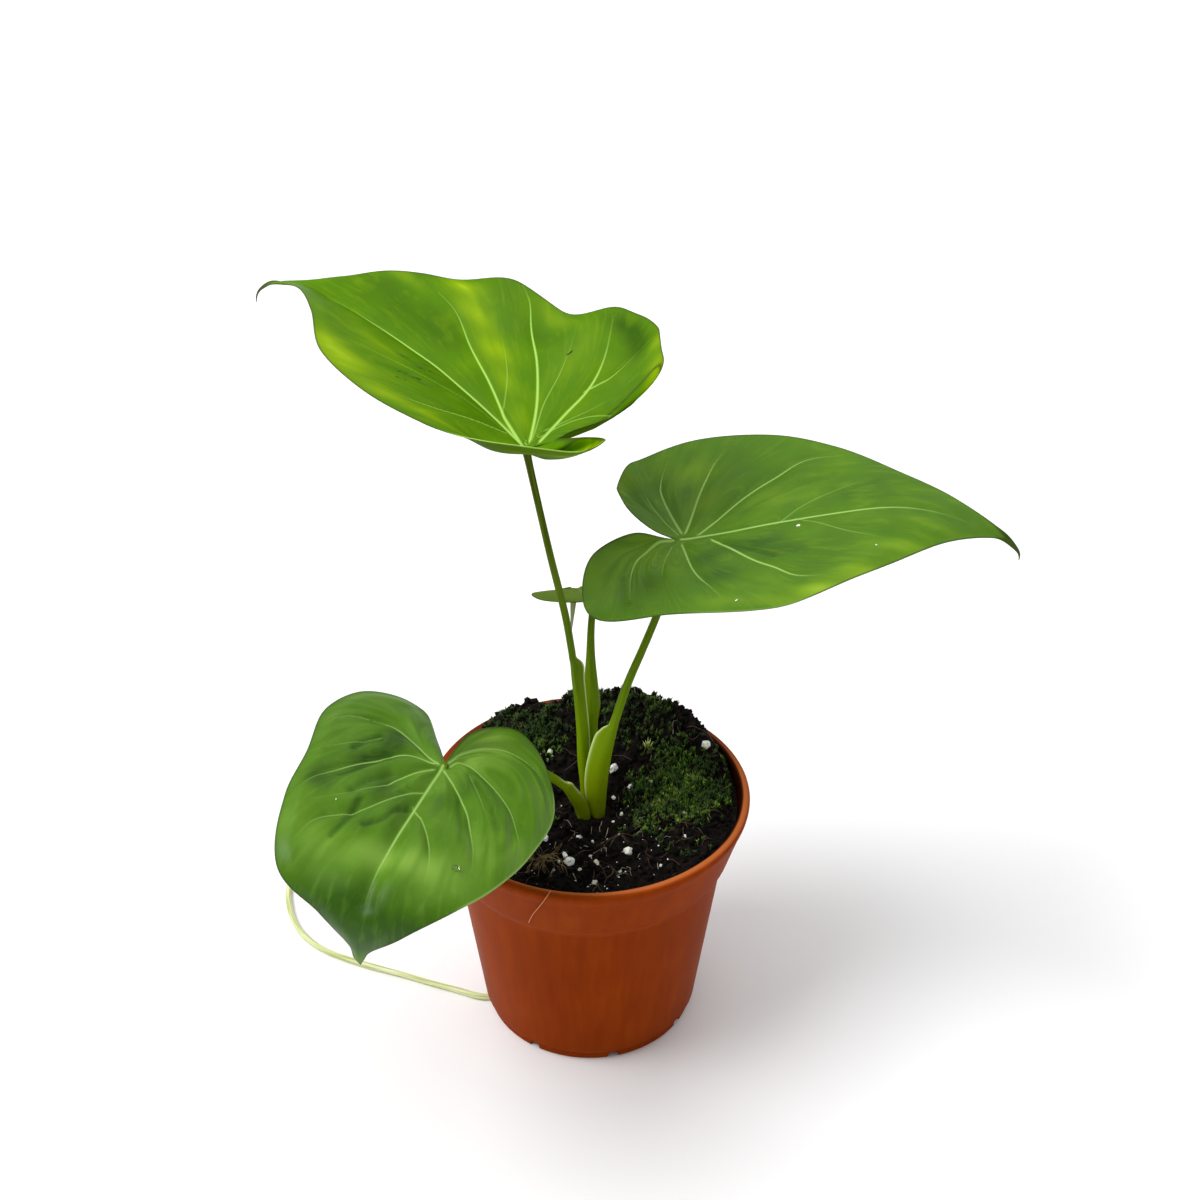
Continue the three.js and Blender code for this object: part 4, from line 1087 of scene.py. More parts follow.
# %% The four outlines and bends
# Each margin stop: mm along the midrib, mm out from it, mm of waving above the folded half.
# Each ripple: side, place by number of margin stop, width in stops and height in mm.
# The pale edge: side, first and last margin stop, and how pale.
# Each hollow: mm along, mm out, radius and height in mm.
# The hook: where the drip tip turns down, as a share of the length, and by how many degrees.
# Dry: from which share of the length the tip is dry, and how much
LEAVES = {
    "tall": dict(
        junction=(-17.5, -7, 217.8), heading=130.7, rise=19, arch=-18, lobe_arch=84, roll=36.3,
        knee=(0.75, 0.25, -23.5), tail=(0.86, 0.14, -33), left_bend=(0, 0), right_bend=(60, 19.5),
        left=[
            (-6.5, 0, 8.5), (-17.5, 5.5, 13), (-27, 4.5, 15.5), (-28, 17.5, 10), (-19.5, 38.5, 6),
            (0.5, 50.5, -2), (25, 47.5, -8.2), (51.5, 39.5, -9), (74, 24, -3.5), (92.5, 10.5, -1),
            (106.5, 3.2, -1.5), (115, 1, -0.5), (122.5, 0, 0),
        ],
        right=[
            (-6.5, 0, 8.5), (-8, 10.5, 4.5), (-18, 37, -6), (-24, 43, -1), (-18, 43.5, 3.5),
            (3.5, 49.5, 1.5), (24, 45.5, -7.5), (44, 39, -4.5), (73, 22.5, -2.5), (92.5, 11.5, -3),
            (106, 3.2, -2.5), (115, 0.9, 0.5), (122.5, 0, 0),
        ],
        quilting=0.7,
        streaks=0.12,
        ripples=[
            (-1, 7.1, 0.28, 1.1), (-1, 7.48, 0.28, -1.8), (-1, 8.35, 0.4, 0.9), (-1, 5.5, 0.25, 2.7),
            (-1, 5.95, 0.25, -0.8), (-1, 5.0, 0.3, 0.8),
        ],
        pale_edge=(1, 2.7, 4.9, 1.0),
        hollows=[(-10, 30, 9, -2.6)],
        hook=(0.955, -75),
        dry=(0.89, 1.0),
    ),
    "right": dict(
        junction=(28.4, 3.6, 180.9), heading=-10, rise=18.6, arch=-5, lobe_arch=72, roll=-3,
        knee=(0.45, 0.5, -41.6), tail=(0.86, 0.14, -14), left_bend=(6, 14.5), right_bend=(-5.5, 0),
        left=[
            (-2, 0, 0), (-11, 5.5, 2), (-21.5, 17.5, 2.5), (-25.5, 29.5, 1.5), (-18, 40, 1),
            (-0.5, 45.5, 1), (25.5, 42.5, 0), (46, 33.5, -1), (65.5, 20, -2), (81.5, 10, -0.5),
            (93.5, 3.4, 1), (99.5, 0.8, 1.5), (107, 0, 0),
        ],
        right=[
            (-2, 0, 0), (-14, 3.5, 6), (-25, 14.5, 5.5), (-25.5, 29, 2), (-19, 40.5, 1), (0.5, 43, 2.5),
            (26, 42.5, -1), (46, 35, -3.5), (66.5, 22.5, -4), (82.5, 11, -1.5), (93.5, 3.2, 0),
            (99.5, 0.7, 1.5), (107, 0, 0),
        ],
        quilting=0.8,
        streaks=0.2,
        ripples=[
            (1, 3.5, 0.3, 1.2), (1, 2.9, 0.3, -1.2), (1, 2.3, 0.3, 0.3), (-1, 6.4, 0.4, -0.7),
            (-1, 7.3, 0.4, 0.6),
        ],
        pale_edge=(-1, 5.2, 7, 0.35),
        hollows=[],
        hook=(0.96, -60),
        dry=(0.93, 0.8),
    ),
    "low": dict(
        junction=(-43.1, -42.1, 130.3), heading=255.5, rise=9.8, arch=-14, lobe_arch=2, roll=-8.4,
        knee=(0.5, 0.4, -102), tail=(0.86, 0.14, -18), left_bend=(-4.2, -23), right_bend=(4, 5),
        left=[
            (-2, 0, 0), (-15, 3.5, 5), (-27.5, 13, 4.5), (-28, 22.5, 1.5), (-18, 31.5, -0.5),
            (-1.5, 37, 0.5), (20, 36, 0.5), (41, 31.5, 0.5), (60, 23, 0), (72.5, 12.5, 0),
            (81.5, 4, -0.5), (88, 1.5, -0.5), (93, 0, 0),
        ],
        right=[
            (-2, 0, 0), (-13.5, 6, -1.5), (-25.5, 14, -1.5), (-28, 24, -0.5), (-19.5, 34.5, 1),
            (-2, 39.5, 1), (20, 36, 0.5), (41.5, 33.5, 0.5), (62, 26.5, 0), (71.5, 12, -1),
            (81.5, 3.5, -1.5), (88, 1.5, -0.5), (93, 0, 0),
        ],
        quilting=2.1,
        streaks=0.2,
        ripples=[(-1, 2.0, 0.4, 0.6), (1, 6.2, 0.4, -0.5)],
        pale_edge=(1, 4.0, 8, 0.7),
        hollows=[],
        hook=(0.95, 0),
        dry=(0.93, 0.7),
    ),
    "young": dict(
        junction=(1.5, 8, 156.3), heading=100, rise=-26, arch=-6, lobe_arch=-10, roll=6,
        knee=(0.5, 0.4, -8), tail=(0.62, 0.16, -62), left_bend=(2, 0), right_bend=(9, 0),
        left=[
            (-1, 0, 0), (-5, 2, 0), (-9, 6.5, 0), (-10, 12, 0), (-7.5, 17, 0), (1, 18.8, 0), (10, 17.8, 0),
            (19, 12.5, 0), (27, 6.5, 0), (34, 2.6, 0), (40, 1.3, 0), (47, 0.9, 0), (58, 0, 0),
        ],
        right=[
            (-1, 0, 0), (-5, 2, 0), (-9, 6.5, 0), (-9.5, 11.5, 0), (-6, 15.5, 0), (1, 17.5, 0), (10, 16, 0),
            (19, 12, 0), (27, 6.5, 0), (34, 2.6, 0), (40, 1.3, 0), (47, 0.9, 0), (58, 0, 0),
        ],
        quilting=0.3,
        streaks=0.1,
        ripples=[],
        pale_edge=(1, 0, 1, 0),
        hollows=[],
        hook=(0.9, 0),
        dry=(0.6, 0.75),
    ),
}
# Where along the midrib each margin stop's line starts, as a share of its length
RIB_SHARES = [0, 0, 0, 0, 0.02, 0.1, 0.28, 0.48, 0.66, 0.8, 0.9, 0.96, 1]
RIB_STEP = 0.25
CURL_REACH = 40
print("leaf lengths:", {name: leaf["left"][-1][0] for name, leaf in LEAVES.items()})

# %% From flat to bent
def bend(leaf, along, out, lift):
    """Place of a flat point: the midrib's slope is summed into a curve, each half is an arc across it,
    then roll and heading turn the leaf about its junction.
    """
    length = leaf["left"][-1][0]
    a = np.arange(-60, length + 3, RIB_STEP)
    hook = (leaf["hook"][0], 1.01 - leaf["hook"][0], leaf["hook"][1])
    bends_down = (leaf["knee"], leaf["tail"], hook)
    turned_down = [angle * smooth((a / length - start) / over) for start, over, angle in bends_down]
    ahead = leaf["rise"] + leaf["arch"] * a / 100 + sum(turned_down)
    slope = np.radians(np.where(a < 0, leaf["rise"] + leaf["lobe_arch"] * a / 100, ahead))
    zero = np.argmin(np.abs(a))
    rib = []
    for part in (np.cos(slope), np.sin(slope)):
        summed = np.concatenate([[0], np.cumsum((part[1:] + part[:-1]) / 2 * RIB_STEP)])
        rib.append(np.interp(along, a, summed - summed[zero]))
    here = np.interp(along, a, slope)
    side = np.where(out < 0, -1, 1)
    bends = [np.where(out < 0, r, l) for l, r in zip(leaf["left_bend"], leaf["right_bend"])]
    fold = np.radians(bends[0])
    curl = np.radians(bends[1]) / CURL_REACH
    curl = np.where(np.abs(curl) < 1e-6, 1e-6, curl)
    across = side * (np.sin(fold + curl * np.abs(out)) - np.sin(fold)) / curl
    up = (np.cos(fold) - np.cos(fold + curl * np.abs(out))) / curl + lift
    point = np.stack([rib[0] - up * np.sin(here), across, rib[1] + up * np.cos(here)], -1)
    axis = np.array([np.cos(np.radians(leaf["rise"])), 0, np.sin(np.radians(leaf["rise"]))])
    roll, heading = np.radians(leaf["roll"]), np.radians(leaf["heading"])
    point = (
        point * np.cos(roll) + np.cross(axis, point) * np.sin(roll)
        + (point @ axis)[..., None] * axis * (1 - np.cos(roll))
    )
    x = point[..., 0] * np.cos(heading) - point[..., 1] * np.sin(heading)
    y = point[..., 0] * np.sin(heading) + point[..., 1] * np.cos(heading)
    return np.stack([x, y, point[..., 2]], -1) + np.array(leaf["junction"])


print("tip of the tall leaf:", bend(LEAVES["tall"], *np.array([[122.5], [0.0], [0.0]])).round(1))

# %% [markdown]
# The main veins fan out from the junction and arch towards the margin. Their courses were read from the
# photograph. Each has a strength, from 1 for one that stands out pale to 0.35 for one just visible.

# %% Vein courses
# Each vein: number of its set, strength, half width in mm at its start, then stops as mm along and mm out,
# left of the midrib positive. Veins that fork or run close together are in different sets, so that each
# keeps its line
VEIN_SETS = 3
VEINS = {
    "tall": [
        (0, 1.0, 0.75, [(0, 0), (30, 0), (60, 0), (88, 0)]),
        (1, 1.0, 0.7, [(2, 0), (12, -2), (16, -3.5), (27, -8), (39, -13), (50, -18), (60, -21)]),
        (0, 1.0, 0.65, [(2, -3), (10, -12), (20, -22), (29, -32), (35, -38), (41, -40.5)]),
        (1, 1.0, 0.7, [(-0.5, -5), (1, -14.5), (2, -24), (5, -32.5), (11.5, -44)]),
        (0, 0.7, 0.4, [(2, -24), (-0.6, -32), (-1.4, -42)]),
        (0, 0.75, 0.5, [(7, 4), (9.1, 15.1), (12.3, 27.1), (16.9, 33.3), (21.3, 37.1), (26.6, 40.7)]),
        (2, 0.45, 0.35, [(2, -4), (8, -12.6), (12, -22.5), (19, -39)]),
        (2, 0.35, 0.35, [(16, -4.6), (25, -14), (36, -24)]),
        (0, 0.5, 0.35, [(0.4, -5.7), (-1.3, -11.5), (-5.7, -17.3), (-11.8, -22.3), (-16, -27)]),
        (2, 0.4, 0.35, [(1, -8), (-1, -13), (-4.5, -19), (-8, -25)]),
        (1, 0.4, 0.5, [(2, 0), (12, 4), (27, 11), (39, 17), (52, 23), (62, 27)]),
    ],
    "right": [
        (0, 1.0, 0.75, [(0, 0), (30, 0), (60, 0), (86, 0)]),
        (0, 0.9, 0.6, [(0.5, 4), (3, 20.5), (6, 30.5), (10.5, 37.5)]),
        (1, 0.95, 0.6, [(5.5, 2), (17.5, 15), (27, 23), (35, 28), (47, 28.5)]),
        (1, 0.8, 0.55, [(-1, 4), (-9, 21.7), (-10.6, 28.6), (-9.3, 36.6)]),
        (2, 0.5, 0.4, [(-2, 3), (-11, 16), (-17, 26)]),
        (1, 0.95, 0.6, [(10, -3.6), (23, -17), (31, -23), (37.5, -27.5), (46, -29)]),
        (0, 0.8, 0.5, [(0.3, -3.4), (7, -21.5), (16, -35)]),
        (1, 0.85, 0.55, [(-3, -1), (-7, -2.8), (-10.5, -7.3), (-12.8, -12), (-13, -20), (-11.3, -30.7)]),
        (2, 0.4, 0.35, [(-2.8, -4.2), (-4, -13), (-3.2, -22)]),
        (2, 0.4, 0.35, [(30, 0), (42, 9), (56, 15)]),
        (1, 0.4, 0.35, [(36, 0), (50, -9), (63, -14)]),
    ],
    "low": [
        (0, 0.9, 0.65, [(0, 0), (30, 0), (50, 0), (64, 0)]),
        (
            1, 0.9, 0.55,
            [(-0.6, -2), (-3, -6.5), (-7, -12.3), (-10.3, -19), (-8.6, -25), (-2.8, -32), (6.5, -37)],
        ),
        (0, 0.85, 0.5, [(0, -3), (0.6, -9), (4, -13.6), (15.4, -21.7), (27.8, -28.5), (38.7, -31.8)]),
        (1, 0.8, 0.5, [(3.6, -2.2), (8.7, -6), (15.6, -9.3), (23.7, -12.4), (40, -25.4)]),
        (2, 0.6, 0.45, [(15.4, -0.3), (22, -5.8), (36, -12.8), (45.8, -21.2), (55.5, -24.3)]),
        (2, 0.35, 0.35, [(1.2, -19.8), (8.9, -26.7), (19.3, -34.3)]),
        (
            1, 0.8, 0.5,
            [
                (-2.5, 1.2), (-7.4, 3), (-12.8, 6.2), (-17, 10), (-20.2, 14.7), (-21.3, 20.5),
                (-19.2, 26.4), (-12, 32.3), (-5.7, 35),
            ],
        ),
        (
            2, 0.8, 0.5,
            [
                (-1, 2), (-4.8, 3.5), (-5.7, 7.6), (-2.2, 14.5), (2.7, 20.5), (7, 24.8), (14, 29),
                (20, 32), (28, 33.6),
            ],
        ),
        (1, 0.8, 0.5, [(2, 1.4), (8.5, 7), (16.5, 13.3), (23.5, 17), (32.4, 21), (40, 23.3)]),
        (2, 0.6, 0.45, [(25, 0), (30.6, 4.4), (37.6, 8.7), (44.5, 11.5), (53.6, 13.6)]),
        (0, 0.35, 0.35, [(1.7, 9.2), (9.8, 15.4), (21.8, 23.6)]),
    ],
    "young": [
        (0, 0.7, 0.5, [(0, 0), (15, 0), (30, 0), (42, 0)]),
        (1, 0.4, 0.3, [(1, 0), (6, 6), (14, 10), (20, 10)]),
        (2, 0.4, 0.3, [(1, 0), (6, -6), (14, -10), (20, -10)]),
        (2, 0.4, 0.3, [(0, 0), (-1, 8), (3, 14)]),
        (1, 0.4, 0.3, [(0, 0), (-1, -8), (3, -14)]),
    ],
}
# Each patch: mm along, mm out, radius along, radius out, and how much more yellow it is (below zero, how
# much deeper green). Some are the leaf's own mottling and some are painted light and shade, as marked
# below.
PATCHES = {
    "tall": [
        (55, -28, 7, 3, 1.1), (46, -22.5, 8, 3.5, 1.1), (34, -17, 8, 3.5, 0.8), (22, -11, 9, 3, 0.4),
        (8, -5, 7, 3, 0.4), (57, 33, 9, 6, 0.8), (44, 38, 10, 6, 0.9), (22, 43, 12, 5, 0.9),
        (6, 40, 9, 6, 0.5), (-20, -40, 7, 4, 0.7), (-26, -31, 5, 5, 0.6), (-9, -45.5, 6, 3, 0.7),
        (53, 14, 16, 7, 0.4), (51, -10.5, 12, 6, -0.4), (67, -9, 12, 7, -0.3), (7, -44.5, 6, 3, -0.8),
        (0, -41.5, 5, 4, -0.8), (26, -31, 6, 4, -0.3), (24, -40, 7, 4, 0.5), (35, 10, 9, 5, -0.2),
        # (-23, 10) and (-20, 26) are painted light, brightening the front lobe that lies in the blade's
        # shadow
        (-23, 10, 6, 9, 1.9), (-20, 26, 9, 10, 0.6), (12, -26, 5, 9, 0.3), (14, -36, 4, 6, 0.3),
        (78, -20, 10, 3, 0.6),
    ],
    "right": [
        (33, -38.5, 9, 3, 0.5), (45, -34, 8, 3, 0.9), (55, -28, 8, 3.5, 0.8), (68, -17, 9, 3, 0.6),
        # (-16, -26) and (-20, -17) are painted light on a lobe the tall leaf shades, (23, -10) is a painted
        # shadow beside a vein, and (2, 31) and (4, 18) are painted sheen
        (85, -6.5, 9, 2, 0.4), (19, -38, 9, 3, 0.3), (27, -31, 8, 4, 0.15), (-16, -26, 7, 8, 0.1),
        (-20, -17, 5, 6, 0.1), (-6.5, -21, 4, 7, -0.4), (23, -10, 9, 3.5, -0.8), (33, -16, 8, 3, -0.6),
        (8.5, -15, 6, 5, -0.6), (15, -25, 6, 5, -0.5), (-17, 21, 5, 7, -0.3), (-11, 26, 3, 6, -0.3),
        (2, 31, 7, 5, 0.5), (32, 11, 14, 5, 0.2), (-24, 27, 4, 9, 0.5), (4, 18, 6, 5, 0.45),
        (60, 12, 20, 8, -0.15), (-10, -10, 14, 14, 0.35), (-14, 22, 10, 14, 0.25),
    ],
    "low": [
        # (50, 0) is a painted sheen band above the turned-down fold, (70, 0) and (80, 0) are painted shade
        # on the fold, the other yellower patches are mostly painted sheen, and the deeper ones beside the
        # veins are painted shade in the creases
        (50, 0, 6, 26, 0.6), (-8, 6, 7, 4, 0.6), (-19, 9, 8, 7, 0.7), (26, 15, 9, 4, 0.4),
        (20, 32, 12, 4, 0.5), (30, -28, 6, 5, -0.7), (17, 5, 5, 3, -0.4), (1.5, -16.5, 6, 3.5, -0.7),
        (14, -21, 8, 3, -0.6), (23, -11, 8, 3, -0.5), (24, -5, 7, 2.5, -0.4), (42, -9, 8, 3, -0.3),
        (-3, -16.5, 5, 4, -0.6), (20, 15, 7, 3, -0.4), (8, 9.7, 6, 2.5, -0.4), (16, 31, 7, 3, -0.3),
        (70, 0, 11, 30, -0.9), (80, 0, 8, 8, -0.2), (44, 14, 7, 8, 0.3), (57, -14, 8, 8, 0.3),
        (55, -23, 7, 6, 0.3), (-15, 14, 6, 6, 0.3), (-8, 30, 8, 6, 0.3), (34, 24, 8, 6, 0.3),
        (11, 4, 8, 3, 0.3), (10, -4, 8, 3, 0.3), (0, -34, 10, 4, 0.2),
    ],
    "young": [(15, 0, 30, 20, 0.2)],
}
# Each crease: depth in mm, then stops as mm along and mm out. A crease is sunk into the blade and also
# painted darker, as painted shade
CREASES = {
    "tall": [(0.3, [(30, 19), (36, 21), (41, 26)]), (0.3, [(36, 5), (41, 9), (47, 11)])],
    "right": [
        (0.4, [(14, -6), (22, -12), (30, -17.5)]), (0.3, [(-15, -20), (-14, -28), (-11, -34)]),
        (0.3, [(9, 8), (18, 19), (24, 26)]), (0.3, [(18, 7), (32, 16), (46, 20)]),
    ],
    "low": [
        (0.7, [(10, -25), (4, -23), (-1, -20.5)]), (0.6, [(11, -20.5), (8, -18), (4.5, -15.5)]),
        (0.7, [(41, -9.5), (36, -5.6), (31, -4.4), (26, -1.6)]),
        (0.7, [(50, -15.5), (45, -14.8), (37.5, -14.2), (31, -14.4)]),
        (0.5, [(24, -24), (17, -20.5), (9, -17)]), (0.5, [(30, -18), (22, -15), (14, -11.5)]),
        (0.4, [(14, 10), (24, 14), (32, 17)]), (0.4, [(3, 12), (9, 18), (18, 24)]),
    ],
    "young": [],
}
print("veins:", {name: len(veins) for name, veins in VEINS.items()})

# %% [markdown]
# For each point of a blade the lesson finds the nearest vein, how far it is to either side, and a number
# that runs smoothly from one vein to the next. The first draws the veins, the last makes the fine
# side veins run between them. The blade bulges between its veins, which is called quilting.

# %% How each point lies to the veins
COURSE_POINTS = 90
COURSE_BEYOND = 45
# mm before the junction of the point that the veins' angles are taken from
FAN_CENTRE = 8


def vein_field(flat, veins):
    """For each set of veins three numbers: the signed distance to the nearest vein in half widths, the
    plain distance in mm and the vein's strength. Then the distance to the nearest vein, more for
    a faint one, and the mean of the veins' angles weighted by nearness.
    """
    best = np.full((VEIN_SETS, len(flat)), 1e9)
    lines = np.zeros((VEIN_SETS, len(flat), 3))
    nearest_main = np.full(len(flat), 1e9)
    weight = np.full(len(flat), 0.1)
    total = weight * np.degrees(np.arctan2(flat[:, 1], flat[:, 0] + FAN_CENTRE))
    for number, (group, strength, width, stops) in enumerate(veins):
        course = through(stops, COURSE_POINTS)
        step = np.gradient(course, axis=0)
        step /= np.linalg.norm(step, axis=1, keepdims=True)
        far = course[-1] + step[-1] * np.linspace(0.5, COURSE_BEYOND, COURSE_POINTS)[:, None]
        longer = np.vstack([course, far])
        near = np.empty(len(flat), int)
        closest = np.empty(len(flat), int)
        for part in np.array_split(np.arange(len(flat)), 12):
            square = ((flat[part, None] - longer[None]) ** 2).sum(-1)
            near[part] = square[:, :COURSE_POINTS].argmin(1)
            closest[part] = square.argmin(1)
        delta = flat - course[near]
        beside = step[near, 0] * delta[:, 1] - step[near, 1] * delta[:, 0]
        distance = np.hypot(beside, np.maximum(np.abs((delta * step[near]).sum(1)) - 0.4, 0))
        share = near / (COURSE_POINTS - 1)
        half_width = width * (1 - 0.6 * share)
        fading = strength * (1 - 0.85 * smooth((share - 0.55) / 0.45))
        closer = distance / half_width < best[group]
        best[group] = np.where(closer, distance / half_width, best[group])
        found = np.stack([np.sign(beside) * distance / half_width, distance, fading], -1)
        lines[group] = np.where(closer[:, None], found, lines[group])
        nearest_main = np.minimum(nearest_main, distance + 7 * (1 - fading) * (number > 0))
        way = np.gradient(longer, axis=0)[closest]
        way /= np.linalg.norm(way, axis=1, keepdims=True)
        apart = flat - longer[closest]
        forward = np.abs((apart * way).sum(1))
        beyond = np.hypot(way[:, 0] * apart[:, 1] - way[:, 1] * apart[:, 0], np.maximum(forward - 0.5, 0))
        middle = course[COURSE_POINTS // 3 : COURSE_POINTS * 5 // 6].mean(0)
        mean_weight = strength / (beyond + 0.6)
        total += mean_weight * np.degrees(np.arctan2(middle[1], middle[0] + FAN_CENTRE))
        weight += mean_weight
    return lines, nearest_main, total / weight


print("at a vein the field is", vein_field(np.array([[30.0, 0.0]]), VEINS["tall"])[0][0].round(2))

# %% [markdown]
# A leaf's finish is wax over green. The upper face is satin and deep green, with yellower and deeper
# patches:
# some are the leaf's own mottling, others are painted light and shade, such as sheen, a lit lobe and shade
# on folds and in creases. Its veins are pale. The underside is duller and a little darker, and its veins
# stand out.

# %% Leaf skin
def leaf_skin(name, greens, vein_colour, rim, gloss, specular, streaks=0.3, tip="#4f4a38"):
    """Waxed leaf: four greens blended by one attribute that holds the leaf's own tint together with painted
    light and shade, darker at the margin, pale on the veins, streaked between them.
    """
    material, tree, shader = new_material(name, IOR=1.45, Specular_IOR_Level=specular)
    place = add_node(tree, "TexCoord").outputs["Object"]
    flow = add_node(tree, "Attribute", attribute_name="flow")
    fine_map = add_node(tree, "Mapping", {"Vector": flow.outputs["Vector"], "Scale": (0.6, 0.1, 3)})
    fine = add_node(tree, "TexNoise", {"Vector": fine_map, "Scale": 1, "Detail": 2, "Roughness": 0.6})
    wide_map = add_node(tree, "Mapping", {"Vector": flow.outputs["Vector"], "Scale": (0.11, 0.07, 3)})
    wide = add_node(tree, "TexNoise", {"Vector": wide_map, "Scale": 1, "Detail": 3})
    cloud = add_node(tree, "TexNoise", {"Vector": place, "Scale": 60, "Detail": 3, "Roughness": 0.5})
    # the blend of greens: the leaf's own tint plus painted light and shade from patches and creases
    tint_and_painted_light = add_node(tree, "Attribute", attribute_name="tint_and_painted_light")
    cloud_part = add_node(tree, "Math", {0: cloud, 1: 0.45, 2: -0.225}, operation="MULTIPLY_ADD")
    wide_part = add_node(tree, "Math", {0: wide, 1: 0.24, 2: -0.12}, operation="MULTIPLY_ADD")
    both = add_node(tree, "Math", {0: cloud_part, 1: wide_part}, operation="ADD")
    sum_of = add_node(tree, "Math", {0: tint_and_painted_light.outputs["Fac"], 1: both}, operation="ADD")
    tone = add_node(tree, "Math", {0: sum_of, 1: 0.8}, operation="MULTIPLY")
    green = add_node(tree, "ValToRGB", {"Fac": tone}, stops=list(zip((0.0, 0.34, 0.76, 1.0), greens)))
    fine_part = add_node(
        tree, "MapRange", {"Value": fine, "From Min": 0.5, "From Max": 0.8, "To Max": streaks}
    )
    streaked = add_node(tree, "Mix", {0: fine_part, 6: green, 7: linear(greens[2])}, data_type="RGBA")
    margin = add_node(tree, "Attribute", attribute_name="margin")
    rim_part = add_node(
        tree, "MapRange",
        {"Value": margin.outputs["Fac"], "From Min": 0.1, "From Max": 0.6, "To Min": 0.8, "To Max": 0},
    )
    rimmed = add_node(tree, "Mix", {0: rim_part, 6: streaked.outputs[2], 7: linear(rim)}, data_type="RGBA")
    drawn = None
    for number in range(VEIN_SETS):
        vein = add_node(tree, "Attribute", attribute_name=f"vein_{number}")
        parts = add_node(tree, "SeparateXYZ", {0: vein.outputs["Vector"]})
        off = add_node(tree, "Math", {0: parts}, operation="ABSOLUTE")
        line = add_node(
            tree, "MapRange", {"Value": off, "From Min": 0.1, "From Max": 1.1, "To Min": 1, "To Max": 0},
            interpolation_type="SMOOTHSTEP",
        )
        near = add_node(
            tree, "MapRange",
            {"Value": parts.outputs[1], "From Min": 1.1, "From Max": 1.5, "To Min": 1, "To Max": 0},
        )
        crisp = add_node(tree, "Math", {0: line, 1: near}, operation="MULTIPLY")
        one = add_node(tree, "Math", {0: crisp, 1: parts.outputs[2]}, operation="MULTIPLY")
        drawn = add_node(tree, "Math", {0: drawn, 1: one}, operation="MAXIMUM") if drawn else one
    edge = add_node(tree, "Attribute", attribute_name="edge")
    edge_part = add_node(
        tree, "MapRange",
        {"Value": margin.outputs["Fac"], "From Min": 0.2, "From Max": 0.7, "To Min": 1, "To Max": 0},
    )
    edged = add_node(tree, "Math", {0: edge_part, 1: edge.outputs["Fac"]}, operation="MULTIPLY")
    pale = add_node(tree, "Math", {0: edged, 1: drawn}, operation="MAXIMUM")
    veined = add_node(
        tree, "Mix", {0: pale, 6: rimmed.outputs[2], 7: linear(vein_colour)}, data_type="RGBA"
    )
    dry = add_node(tree, "Attribute", attribute_name="dry")
    tipped = add_node(
        tree, "Mix", {0: dry.outputs["Fac"], 6: veined.outputs[2], 7: linear(tip)}, data_type="RGBA"
    )
    tree.links.new(tipped.outputs[2], shader.inputs["Base Color"])
    rough = add_node(
        tree, "MapRange",
        {"Value": cloud, "From Min": 0.3, "From Max": 0.7, "To Min": gloss, "To Max": gloss + 0.12},
    )
    tree.links.new(rough.outputs[0], shader.inputs["Roughness"])
    furrow = add_node(tree, "Attribute", attribute_name="furrow")
    sunk = add_node(tree, "Math", {0: furrow.outputs["Fac"], 1: -1.0}, operation="MULTIPLY")
    relief = add_node(tree, "Math", {0: fine, 1: 0.3, 2: sunk}, operation="MULTIPLY_ADD")
    bump = add_node(tree, "Bump", {"Height": relief, "Strength": 0.6, "Distance": 0.0004})
    tree.links.new(bump.outputs[0], shader.inputs["Normal"])
    return material


# the brightest greens of the right and low leaves are greyed as painted sheen, and the tall leaf's
# brightest green also paints the light on its front lobe
TALL_GREENS = ["#386000", "#538000", "#86a800", "#b6d630"]
RIGHT_GREENS = ["#305600", "#4a7402", "#789c12", "#94b434"]
LOW_GREENS = ["#2c5200", "#507c0a", "#7aa238", "#98b85e"]
YOUNG_GREENS = ["#4c6804", "#5a7804", "#7a9414", "#98b33c"]
UNDER_GREENS = ["#385400", "#466404", "#5c7c08", "#6f9010"]
LEAF_TALL = leaf_skin("leaf upper waxed bright", TALL_GREENS, "#acd860", "#3c4c18", 0.42, 0.06)
LEAF_RIGHT = leaf_skin("leaf upper waxed deep", RIGHT_GREENS, "#98bf60", "#33451a", 0.38, 0.2)
LEAF_LOW = leaf_skin("leaf upper waxed old", LOW_GREENS, "#9cc464", "#2a4012", 0.4, 0.26, 0.25)
LEAF_YOUNG = leaf_skin(
    "leaf upper waxed young", YOUNG_GREENS, "#8aa440", "#44501c", 0.6, 0.02, tip="#b0b48c"
)
LEAF_UNDER = leaf_skin("leaf underside dull", UNDER_GREENS, "#8cae40", "#40501c", 0.6, 0.02, 0.2)
LEAF_YOUNG_UNDER = leaf_skin(
    "leaf underside young", YOUNG_GREENS, "#9cb454", "#5c6828", 0.6, 0.02, tip="#c2c89c"
)
print("made 4 upper skins and 2 undersides")

# %% The blades
ROWS_ALONG = 200
POINTS_ACROSS = 88
VEIN_THICKNESS = 0.75
THICKNESS_STEPS = 20
LIFT_POWER = 1.3
CREASE_POINTS = 40
CREASE_WIDTH = 1.1
BLADE_VALUES = (
    ["flow", "margin", "edge", "tint_and_painted_light", "dry", "thick", "furrow"]
    + [f"vein_{i}" for i in range(VEIN_SETS)]
)
BLADE_POINTS = {}


